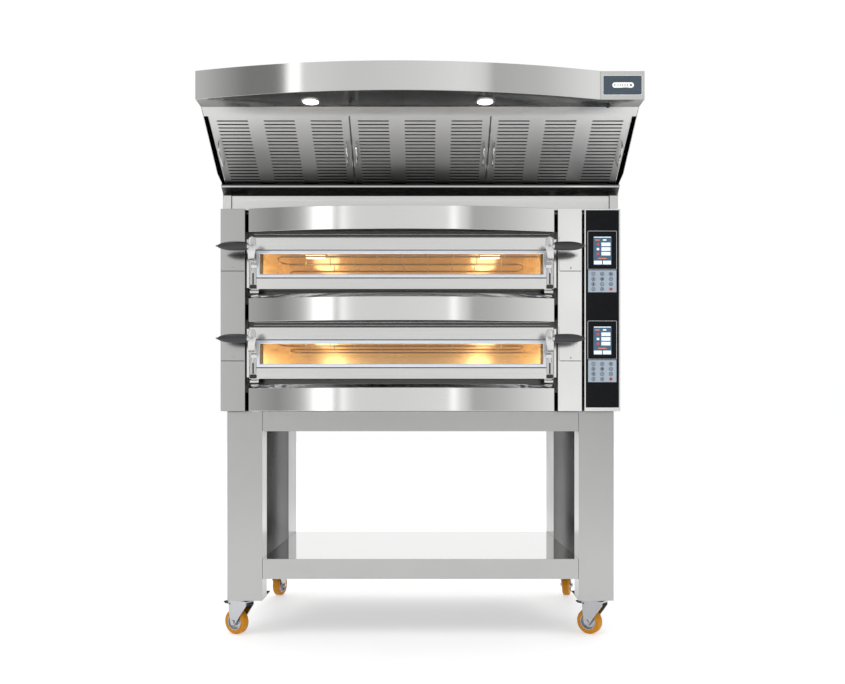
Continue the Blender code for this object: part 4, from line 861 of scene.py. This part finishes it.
# %% Door layers
def make_door(deck):
    """Rails, stiles, trim and inner box round the window pane."""
    at = door_places(deck)
    (x0, x1), (z0, z1), front = at["x"], at["z"], at["front"]
    (hx0, hx1), (hz0, hz1) = at["hole_x"], at["hole_z"]
    trim_x, trim_z = (hx0 - TRIM, hx1 + TRIM), (hz0 - TRIM, hz1 + TRIM)
    skin = (front, front + 0.004)
    name = "door_%s_" % deck
    width = hx0 - x0 - PANE_LEDGE
    rows = []
    for inset, y in ((0, skin[1]), (0, at["back"]), (width, at["back"]), (width, skin[1])):
        share = inset / width
        line = round_rectangle((x0 + inset, x1 - inset), (z0 + share * (hz0 - z0 - PANE_LEDGE),
                                                          z1 - share * (z1 - hz1 - PANE_LEDGE)), 0.0012, 4)
        rows.append(np.stack([line[:, 0], np.full(len(line), y), line[:, 1]], axis=1))
    piece(name + "inner_box", grid_mesh("box", np.array(rows), closed_rows=True), "brushed_steel",
          at["body"], 0.0006, replaces=("door_frame_" + deck,))
    gap = JOINT_WIDTH
    piece(name + "top_rail", bar((x0, x1), skin, (trim_z[1] + gap, z1)), "door_steel", at["body"], 0.0010)
    piece(name + "bottom_rail", bar((x0, x1), skin, (z0, trim_z[0] - gap)), "door_steel", at["body"],
          0.0010)
    sunk = (front + 0.0012, skin[1])
    joints = [bar((x0 + 0.001, x1 - 0.001), sunk, z) for z in ((trim_z[1], trim_z[1] + gap),
                                                               (trim_z[0] - gap, trim_z[0]))]
    piece(name + "joints", joined("joints", joints), "rubber", at["body"])
    for side, x in (("left", (x0, trim_x[0] - 0.0006)), ("right", (trim_x[1] + 0.0006, x1))):
        piece(name + "stile_" + side, bar(x, skin, trim_z), "brushed_steel", at["body"], 0.0006)
    section = [(0, skin[0] + 0.0002), (TRIM - 0.0022, skin[0] - 0.0001), (TRIM, skin[0] + 0.0016),
               (TRIM, skin[1]), (0, skin[1])]
    piece(name + "window_trim", framed(trim_x, trim_z, section, 0.0022), "trim_aluminium", at["body"],
          0.0003)
    frame["nodes"]["door_glass_" + deck].data.materials[0] = FINISH["window_glass"]
    seal = [(0.0, at["back"]), (0.0, at["back"] + 0.0040), (0.010, at["back"] + 0.0040),
            (0.010, at["back"])]
    piece(name + "seal", framed((hx0 - 0.034, hx1 + 0.034), (z0 + 0.010, z1 - 0.010), seal, 0.012),
          "rubber", at["body"], 0.0014)
    return at


# %% Levers, grips, hinges and bumpers
def lever_strap(middle, foot_x, face, grip_z):
    """A rounded strap carried along its side view.

    Its half width grows to the eye and closes in an arc. Seen from the front it leans: at its
    foot the middle is at foot_x, and it eases to the grip's place."""
    reach = face - LEVER_REACH
    foot = grip_z - 0.085
    side_view = spline(((face, foot), (face - 0.0002, foot + 0.012), (face - 0.001, foot + 0.024),
                        (face - 0.014, foot + 0.036), (reach + 0.024, grip_z - 0.045),
                        (reach + 0.006, grip_z - 0.024), (reach, grip_z), (reach, grip_z + 0.018)), 60)
    top = np.stack([np.full(9, reach), grip_z + 0.018 + 0.0165 * np.sin(np.linspace(0, pi / 2, 10)[1:])],
                   axis=1)
    line = np.concatenate([side_view, top])
    rise = np.clip((line[:, 1] - foot) / (grip_z - foot), 0, 1)
    half = 0.0095 + 0.0055 * rise**1.6
    past = np.clip((line[:, 1] - grip_z - 0.018) / 0.0167, 0, 1)
    half = half * np.sqrt(1 - past**2) + 0.0004
    angle = np.linspace(0, 2 * pi, 20, endpoint=False)
    across = np.sign(np.cos(angle)) * np.abs(np.cos(angle)) ** 0.35
    through = np.sign(np.sin(angle)) * np.abs(np.sin(angle)) ** 0.35
    ring = np.stack([half[:, None] * across, np.broadcast_to(through * STRAP_THICKNESS / 2,
                                                             (len(line), 20))], axis=-1)
    lean = (1 - rise) ** 1.2
    path = np.stack([middle + (foot_x - middle) * lean, line[:, 0] - STRAP_THICKNESS / 2, line[:, 1]],
                    axis=1)
    return carried(path, ring, (1, 0, 0))


def grip_profile(length, thickest=0.0170):
    """A spindle that is fullest a third of the way out.

    Inside that place the radius grows as a quarter sine, and past it the radius falls off as
    (1 - s^2.8)^0.70, where s runs from 0 at the fullest place to 1 at the tip."""
    share = np.linspace(0, 1, 32)
    inner = 0.86 + 0.14 * np.sin(pi / 2 * np.clip(share / 0.35, 0, 1))
    outer = np.clip(1 - np.clip((share - 0.35) / 0.65, 0, 1) ** 2.8, 0, 1) ** 0.70
    return np.concatenate([[(0, 0)], np.stack([thickest * inner * outer, share * length], axis=1)])


def mirrored(profile, sign, start):
    """Profile heights measured from a start along +X or -X."""
    profile = np.asarray(profile, float)
    return np.stack([profile[:, 0], start + sign * profile[:, 1]], axis=1)


def make_handles(deck, at):
    """The strap, bolt, ferrule, grip, hinge plates and bumper at each end of a door."""
    hinge, body, front = at["hinge"], at["body"], at["front"]
    face = front - 0.0003
    grip_z = at["z"][0] + GRIP_RISE
    grip_y = face - LEVER_REACH - STRAP_THICKNESS / 2
    for side, sign in (("left", -1), ("right", 1)):
        name = "door_%s_%s_" % (deck, side)
        end = at["x"][0] if sign < 0 else at["x"][1]
        middle = end - sign * LEVER_INSET
        foot_x = end - sign * FOOT_INSET
        strap = lever_strap(middle, foot_x, face, grip_z)
        piece(name + "lever", strap, "lever_chrome", body, replaces=("door_lever_%s_%s" % (deck, side),))
        axis = (0, grip_y, grip_z)
        bolt = [(0, 0), (0.0048, 0.0002), (0.0062, 0.0016), (0.0062, 0.0040), (0, 0.0040)]
        bolt_y = grip_y - STRAP_THICKNESS / 2 - 0.0038
        piece(name + "bolt", turned(mirrored(bolt, 1, bolt_y), "Y", (middle, 0, grip_z), 24), "caster_zinc",
              body, 0.0003)
        ferrule = [(0, 0), (0.0078, 0), (0.0090, 0.0012), (0.0090, 0.0050), (0.0100, 0.0055),
                   (0.0100, 0.0085), (0, 0.0085)]
        start = middle + sign * 0.0095
        piece(name + "ferrule", turned(mirrored(ferrule, sign, start), "X", axis, 32), "lever_chrome", body,
              0.0004)
        low, high = box("door_grip_%s_%s" % (deck, side))
        inner_end = middle + sign * 0.0182
        outer_end = low[0] if sign < 0 else high[0]
        length = abs(outer_end - inner_end) - 0.0048
        piece(name + "grip", turned(mirrored(grip_profile(length), sign, inner_end), "X", axis, 40),
              "grip_black", body, replaces=("door_grip_%s_%s" % (deck, side),))
        tip = [(0, 0), (0.0045, 0), (0.0040, 0.0035), (0.0016, 0.0050), (0, 0.0052)]
        piece(name + "grip_tip", turned(mirrored(tip, sign, outer_end - sign * 0.0054), "X", axis, 20),
              "caster_zinc", body)
        slot = bar((foot_x - 0.0022, foot_x + 0.0022), (face - 0.0012, face),
                   (at["z"][0] + 0.018, grip_z - 0.056))
        piece(name + "plate_joint", slot, "rubber", body)
        for number, shift in enumerate((-0.0076, 0.0076)):
            outline = np.concatenate([arc((0, grip_z - 0.052), 0.0052, 0, 180, 9),
                                      arc((0, at["z"][0] + 0.020), 0.0052, 180, 360, 9)])
            outline[:, 0] += foot_x + shift
            plate_mesh = extruded(outline, "Y", face - 0.0034, face)
            piece(name + "hinge_plate_%d" % (number + 1), plate_mesh, "lever_chrome", body, 0.0010)
        block = round_rectangle((foot_x - 0.0125, foot_x + 0.0125),
                                (at["z"][0] + 0.0010, at["z"][0] + 0.0160), 0.003)
        piece(name + "bumper", extruded(block, "Y", face - 0.0060, face), "rubber", body, 0.0012)
        knuckle = [(0, 0), (0.0066, 0), (0.0075, 0.0010), (0.0075, 0.0340), (0.0066, 0.0350), (0, 0.0350)]
        start = end - sign * 0.0355
        piece(name + "knuckle", turned(mirrored(knuckle, sign, start), "X", (0, hinge[1], hinge[2]), 28),
              "lever_chrome", body, 0.0003)
        web = bar((min(start, start + sign * 0.030), max(start, start + sign * 0.030)),
                  (hinge[1] - 0.004, hinge[1] + 0.004), (hinge[2] + 0.003, at["z"][0] + 0.003))
        piece(name + "knuckle_web", web, "lever_chrome", body, 0.0006)
        stay = ((0.037, 0.0130, -0.0148), (0.046, 0.0205, -0.0152), (0.060, 0.0222, -0.0155),
                (0.098, 0.0262, -0.0155))
        rod = [(end - sign * x, hinge[1] - y, hinge[2] + z) for x, y, z in stay]
        piece(name + "stay_rod", carried(spline(rod, 14), circle(0.0022, 10), (0, 0, 1)), "dark_zinc",
              "oven")


def make_door_gap(deck, at):
    """Cheeks beside the door, fixed to the oven, in the lighter steel that paints light on the gap's flank, and a
    thin drip line over it.
    """
    z = (at["z"][0] + 0.006, at["z"][1] - 0.004)
    y = (at["front"] + 0.012, at["front"] + 0.014)
    for side, edge, sign in (("left", at["x"][0], -1), ("right", at["x"][1], 1)):
        x = sorted((edge + sign * 0.0030, edge + sign * 0.0120))
        piece("door_cheek_%s_%s" % (deck, side), bar(x, y, z), "upright_light", "oven", 0.0004)
    flange = box("chamber_" + deck)[0][1]
    drip = bar((at["x"][0] + 0.004, at["x"][1] - 0.004), (flange - 0.0012, flange - 0.0002),
               (at["z"][1] + 0.0150, at["z"][1] + 0.0165))
    piece("drip_line_" + deck, drip, "brushed_steel", "oven", 0.0003)


for deck in DECKS:
    places = door_places(deck)
    make_door_gap(deck, places)
    make_handles(deck, make_door(deck))
print("doors done")

# %% [markdown]
# ## Inside the chambers
# Through the window one sees the roof of the chamber, its elements on white hooks, the polished
# back wall, and two lamps. The lamps are small bright boxes and also real point lights, because
# the amber of an oven window is the colour of light bouncing between warm steel walls.

# %% Inside the chambers
FRONT_WATTS, REAR_WATTS = 0.30, 0.24
FRONT_LIGHT, REAR_LIGHT = 0.185, 0.560      # point lights behind the chamber's mouth
LAMP_COLOUR = (1.0, 0.78, 0.48)
LAMP_SIZE = 0.06
LAMP_DROP = 0.050         # point lights below the roof
LAMP_SPREAD = 0.355       # lamps either side of the middle
HOOKS = 9
ELEMENT_DROP = 0.016


def make_chamber(deck):
    """Rim, lamps and the hooks that the element rests in."""
    low, high = box("chamber_" + deck)
    stone_low, stone_high = box("baking_stone_" + deck)
    inside_x = (stone_low[0] - 0.005, stone_high[0] + 0.005)
    inside_y = (stone_low[1] - 0.005, stone_high[1] + 0.005)
    roof = box("heating_element_" + deck)[1][2] - 0.0035 + ELEMENT_DROP
    floor = stone_low[2]
    front = low[1]
    ledge = [(0, front - 0.0001), (0, front - 0.0005), (0.016, front - 0.0005), (0.016, front - 0.0001)]
    piece("chamber_%s_rim" % deck, framed((inside_x[0] - 0.016, inside_x[1] + 0.016),
                                          (floor - 0.016, roof + 0.016), ledge, 0.003), "chamber_steel",
          "oven")
    middle = (inside_x[0] + inside_x[1]) / 2
    for number, sign in enumerate((-1, 1)):
        x, y = middle + sign * LAMP_SPREAD, inside_y[0] + 0.165
        glass = round_rectangle((x - 0.040, x + 0.040), (y - 0.024, y + 0.024), 0.008)
        piece("chamber_%s_lamp_%d" % (deck, number + 1), extruded(glass, "Z", roof - 0.009, roof - 0.0005),
              "chamber_lamp", "oven", 0.0015)
        rim = round_rectangle((x - 0.046, x + 0.046), (y - 0.030, y + 0.030), 0.010)
        piece("chamber_%s_lamp_rim_%d" % (deck, number + 1),
              extruded(rim, "Z", roof - 0.003, roof - 0.0004), "chamber_steel", "oven", 0.0006)
        for depth, watts in ((FRONT_LIGHT, FRONT_WATTS), (REAR_LIGHT, REAR_WATTS)):
            light = bpy.data.lights.new("chamber_light", "POINT")
            light.energy = watts
            light.color = LAMP_COLOUR
            light.shadow_soft_size = LAMP_SIZE
            item = bpy.data.objects.new("chamber_light", light)
            item.location = (x, inside_y[0] + depth, roof - LAMP_DROP)
            item.visible_camera = False
            item.visible_transmission = False
            bpy.context.collection.objects.link(item)
    hooks = []
    for x in np.linspace(inside_x[0] + 0.13, inside_x[1] - 0.13, HOOKS):
        for y in (inside_y[0] + 0.10, inside_y[0] + 0.274, inside_y[0] + 0.447):
            angle = np.linspace(0, pi, 9)
            bend = np.stack([np.full(9, x), y - 0.0055 * np.cos(angle),
                             roof - ELEMENT_DROP - 0.0055 * np.sin(angle)], axis=1)
            path = np.concatenate([[(x, y - 0.0055, roof - 0.0006)], bend,
                                   [(x, y + 0.0055, roof - 0.0006)]])
            hooks.append(carried(path, circle(0.0014, 8), (1, 0, 0)))
    piece("chamber_%s_hooks" % deck, joined("hooks", hooks), "ceramic", "oven")


for deck in DECKS:
    make_chamber(deck)
print("chambers done:", HOOKS * 3, "hooks each")

# %% [markdown]
# ## Control column
# Black glass in a bright steel frame, with one unit to a deck: a touchscreen over a membrane
# keypad of twelve round keys. The screen shows plain blocks of colour where the real one has
# words, and the keys carry plain rings.

# %% Control column
PLATE_THICKNESS = 0.0012
KEY_COLUMNS, KEY_ROWS = 3, 4
SCREEN_UNIT = 0.147       # height of the touchscreen's black bezel


def make_controls(deck):
    """Bezel, screen with its blocks, keypad and keys of one deck."""
    low, high = box("control_panel_" + deck)
    front, back = low[1], high[1]
    x0, x1, z1 = low[0], high[0], high[2]
    width = x1 - x0
    split = z1 - SCREEN_UNIT
    name = "control_%s_" % deck
    plate(name + "bezel", (x0, x1), (split, z1), back, PLATE_THICKNESS - 0.0004, 0.003, "black_glass",
          "oven")
    line = [(0, back - 0.0003), (0, front), (0.0012, front), (0.0012, back - 0.0003)]
    piece(name + "bezel_line", framed((x0, x1), (split, z1), line, 0.003), "trim_aluminium", "oven",
          replaces=("control_panel_" + deck,))
    sx = (x0 + 0.20 * width, x1 - 0.18 * width)
    sz = (z1 - 0.130, z1 - 0.022)
    level = front + 0.0004
    plate(name + "screen", sx, sz, level, 0.0002, 0.0008, "screen_blue", "oven", 0)
    blocks = {"screen_white": [], "screen_orange": [], "screen_red": []}

    def patch(finish, left, right, low_share, high_share):
        """One lit block, by its shares of the screen's width and height."""
        px = (sx[0] + left * (sx[1] - sx[0]), sx[0] + right * (sx[1] - sx[0]))
        pz = (sz[0] + low_share * (sz[1] - sz[0]), sz[0] + high_share * (sz[1] - sz[0]))
        blocks[finish].append(extruded(round_rectangle(px, pz, 0.0008, 3), "Y", level - 0.00035,
                                       level - 0.0002))

    patch("screen_white", 0.03, 0.97, 0.965, 0.995)
    patch("screen_orange", 0.08, 0.34, 0.86, 0.90)
    patch("screen_white", 0.52, 0.72, 0.855, 0.905)
    for row in range(3):
        top = 0.79 - 0.165 * row
        patch("screen_white", 0.44, 0.94, top - 0.125, top)
        patch("screen_white" if row == 1 else "screen_red", 0.18, 0.32, top - 0.105, top - 0.025)
    patch("screen_orange", 0.25, 0.72, 0.215, 0.25)
    for left, right in ((0.03, 0.47), (0.53, 0.97)):
        patch("screen_white", left, right, 0.02, 0.15)
    for finish, meshes in blocks.items():
        piece(name + finish, joined(finish, meshes), finish, "oven")

    pad_z = (low[2] + 0.004, split - 0.003)
    plate(name + "keypad", (x0 + 0.002, x1 - 0.001), pad_z, back, PLATE_THICKNESS - 0.0005, 0.002, "keypad",
          "oven")
    keys, rings, red = [], [], []
    for column in range(KEY_COLUMNS):
        for row in range(KEY_ROWS):
            x = x0 + width * (0.20 + 0.30 * column)
            z = pad_z[1] - (pad_z[1] - pad_z[0]) * (0.17 + 0.23 * row)
            dome = [(0, 0), (0.0035, 0.0001), (0.0058, 0.0004), (0.0066, 0.0010), (0, 0.0010)]
            keys.append(turned(mirrored(dome, 1, back - PLATE_THICKNESS - 0.0001), "Y", (x, 0, z), 28))
            wide = 0.0020 if (column, row) == (KEY_COLUMNS - 1, KEY_ROWS - 1) else 0.0015
            ring = [(0.0072 - wide, 0), (0.0072, 0), (0.0072, 0.0008), (0.0072 - wide, 0.0008)]
            target = red if (column, row) == (KEY_COLUMNS - 1, KEY_ROWS - 1) else rings
            target.append(looped(ring, (x, back - PLATE_THICKNESS, z), (0, 1, 0), 32))
            sign = [(0, 0), (0.0024 + 0.0008 * ((column + row) % 3), 0), (0.0024, 0.0005), (0, 0.0005)]
            rings.append(turned(mirrored(sign, 1, back - PLATE_THICKNESS - 0.0003), "Y", (x, 0, z),
                                4 + 2 * (row % 2)))
    piece(name + "keys", joined("keys", keys), "keypad", "oven")
    piece(name + "key_rings", joined("rings", rings), "key_line", "oven")
    piece(name + "stop_ring", joined("red", red), "key_red", "oven")


frame["nodes"]["control_glass"].data.materials[0] = FINISH["black_glass"]
for deck in DECKS:
    make_controls(deck)
print("controls done:", 2 * KEY_COLUMNS * KEY_ROWS, "keys")

# %% [markdown]
# ## Casters
# The wheel is a cast hub with a thick amber tyre. Its cross-section is one closed loop: a bore, a
# dished web and a tread with round shoulders, turned about the axle.

# %% Casters
CORNERS = ("front_left", "front_right", "rear_left", "rear_right")
WHEEL_RADIUS = 0.050


def both_sides(half):
    """A half profile and its mirror image, so that the loop is the same on both faces."""
    half = np.asarray(half, float)
    return np.concatenate([half, half[::-1] * (1, -1)])


def make_caster(corner):
    """Tyre, hub and the swivel race."""
    spin = JOINT["wheel_%s_spin" % corner]
    centre, axis = spin["pos_m"], spin["axis"]
    body = BODY_OF["caster_wheel_" + corner]
    shoulder = arc((WHEEL_RADIUS - 0.0075, 0.0095), 0.0075, 90, 0, 9)
    tyre = both_sides([(0.0335, 0.0155), (0.0350, 0.0170), *shoulder])
    piece("tyre_" + corner, looped(tyre, centre, axis), "tyre_amber", body,
          replaces=("caster_wheel_" + corner,))
    hub = both_sides([(0.0056, 0.0185), (0.0125, 0.0185), (0.0135, 0.0170), (0.0150, 0.0070),
                      (0.0255, 0.0058), (0.0295, 0.0100), (0.0300, 0.0160), (0.0334, 0.0160)])
    piece("hub_" + corner, looped(hub, centre, axis), "hub_grey", body, 0.0004)
    swivel = np.array(JOINT["caster_%s_swivel" % corner]["pos_m"], float)
    top = box("caster_fork_" + corner)[1][2]
    race = [(0.0195, -0.0095), (0.0300, -0.0095), (0.0330, -0.0075), (0.0335, -0.0040), (0.0300, -0.0018),
            (0.0195, -0.0018)]
    race = looped(race, (swivel[0], swivel[1], top), (0, 0, 1), 48)
    piece("swivel_race_" + corner, race, "caster_zinc", "caster_" + corner, 0.0004)


for corner in CORNERS:
    make_caster(corner)
for side in ("left", "right"):
    SHEETS["brake_pedal_" + side].data.materials[0] = FINISH["dark_zinc"]
print("casters done")

# %% [markdown]
# ## Screws
# Small button heads hold the covers. A head is a dome with a round socket sunk in its middle, turned
# at each place, and all the heads on one cover make one piece.

# %% Screws
SCREW_RADIUS = 0.0036
SUNK = 0.0018             # heads of the right-hand side panel, below its face
JOINT_RISE = 0.088        # column joint above a door's lower edge
HEAD_RISE = 0.012         # screw above that joint


def screw(at, axis="Y", way=-1):
    """A button head: a quarter-sine dome, with a socket sunk in its middle."""
    share = np.linspace(0, 1, 7)
    dome = np.stack([SCREW_RADIUS * np.cos(share * pi / 3), 0.0016 * np.sin(share * pi / 2)], axis=1)
    profile = np.concatenate([[(0, -0.0004), (SCREW_RADIUS, -0.0004)], dome,
                              [(0.0015, 0.0012), (0.0013, 0.0004), (0, 0.0004)]])
    spin = {"X": 0, "Y": 1, "Z": 2}[axis]
    place = list(at)
    start = place[spin]
    place[spin] = 0
    return turned(mirrored(profile, way, start), axis, place, 18)


low, high = box("column_cover_left")
sills = [JOINT["door_%s_hinge" % deck]["pos_m"][2] - 0.012 for deck in DECKS]
heads = [screw((low[0] + 0.047, low[1], sill + JOINT_RISE + HEAD_RISE)) for sill in sills]
piece("screws_left_column", joined("screws", heads), "caster_zinc", "oven")
low, high = box("column_cover_right")
heads = [screw((low[0] + 0.049, low[1], sill + JOINT_RISE + HEAD_RISE)) for sill in sills]
piece("screws_right_column", joined("screws", heads), "caster_zinc", "oven")
for side, way in (("left", -1), ("right", 1)):
    low, high = box("side_panel_" + side)
    x = low[0] if way < 0 else high[0] - SUNK
    heads = [screw((x, y, z), "X", way) for y in np.linspace(low[1] + 0.02, high[1] - 0.02, 5)
             for z in (low[2] + 0.015, high[2] - 0.015)]
    piece("screws_side_" + side, joined("screws", heads), "caster_zinc", "oven")
low, high = box("casing_cover")
rear = box("side_panel_left")[1][1]
heads = [screw((x, rear, z), "Y", 1) for x in np.linspace(low[0] + 0.03, high[0] - 0.03, 7)
         for z in (low[2] + 0.02, high[2] - 0.02)]
piece("screws_rear", joined("screws", heads), "caster_zinc", "oven")
seams = []
for side, reach in (("left", (0.001, 0.090)), ("right", (0.001, 0.088))):
    low, high = box("column_cover_" + side)
    for sill in sills:
        z = sill + JOINT_RISE + 0.001
        start = low[0] + reach[0] + (0.010 if side == "right" else 0.0)
        seams.append(bar((start, low[0] + reach[1]), (low[1] - 0.0001, low[1] + 0.0006),
                         (z - 0.0011, z + 0.0011)))
        if side == "right":
            bend = arc((low[0] + 0.013, z + 0.009), 0.009, 180, 270, 7)
            corner = np.concatenate([[(low[0] + 0.004, z + 0.130)], bend])
            line = np.stack([corner[:, 0], np.full(len(corner), low[1]), corner[:, 1]], axis=1)
            seams.append(carried(line, circle(0.0006, 6), (0, 1, 0)))
piece("column_seams", joined("seams", seams), "rubber", "oven")
print("screws and seams done")

# %% [markdown]
# ## Floor
# A wide matt sheet of pale card takes the soft shadows. It isn't part of the oven.

# %% Floor
FLOOR_GLOW = 0.42         # lifts the card to white without a lamp in the steel
FLOOR_MATERIAL = mottled("floor_card", (0.62, 0.62, 0.62), (0.64, 0.64, 0.64), 3, 0.6, bump=0.0)
socket(FLOOR_MATERIAL.node_tree.nodes["Principled BSDF"], Specular_IOR_Level=0.25,
       Emission_Color=(1, 1, 1, 1), Emission_Strength=FLOOR_GLOW)
floor_mesh = bpy.data.meshes.new("floor")
reach = FLOOR_REACH
floor_mesh.from_pydata([(-reach, -reach, 0), (reach, -reach, 0), (reach, reach, 0), (-reach, reach, 0)], [],
                       [(0, 1, 2, 3)])
floor_mesh.materials.append(FLOOR_MATERIAL)
floor = bpy.data.objects.new("floor", floor_mesh)
bpy.context.collection.objects.link(floor)
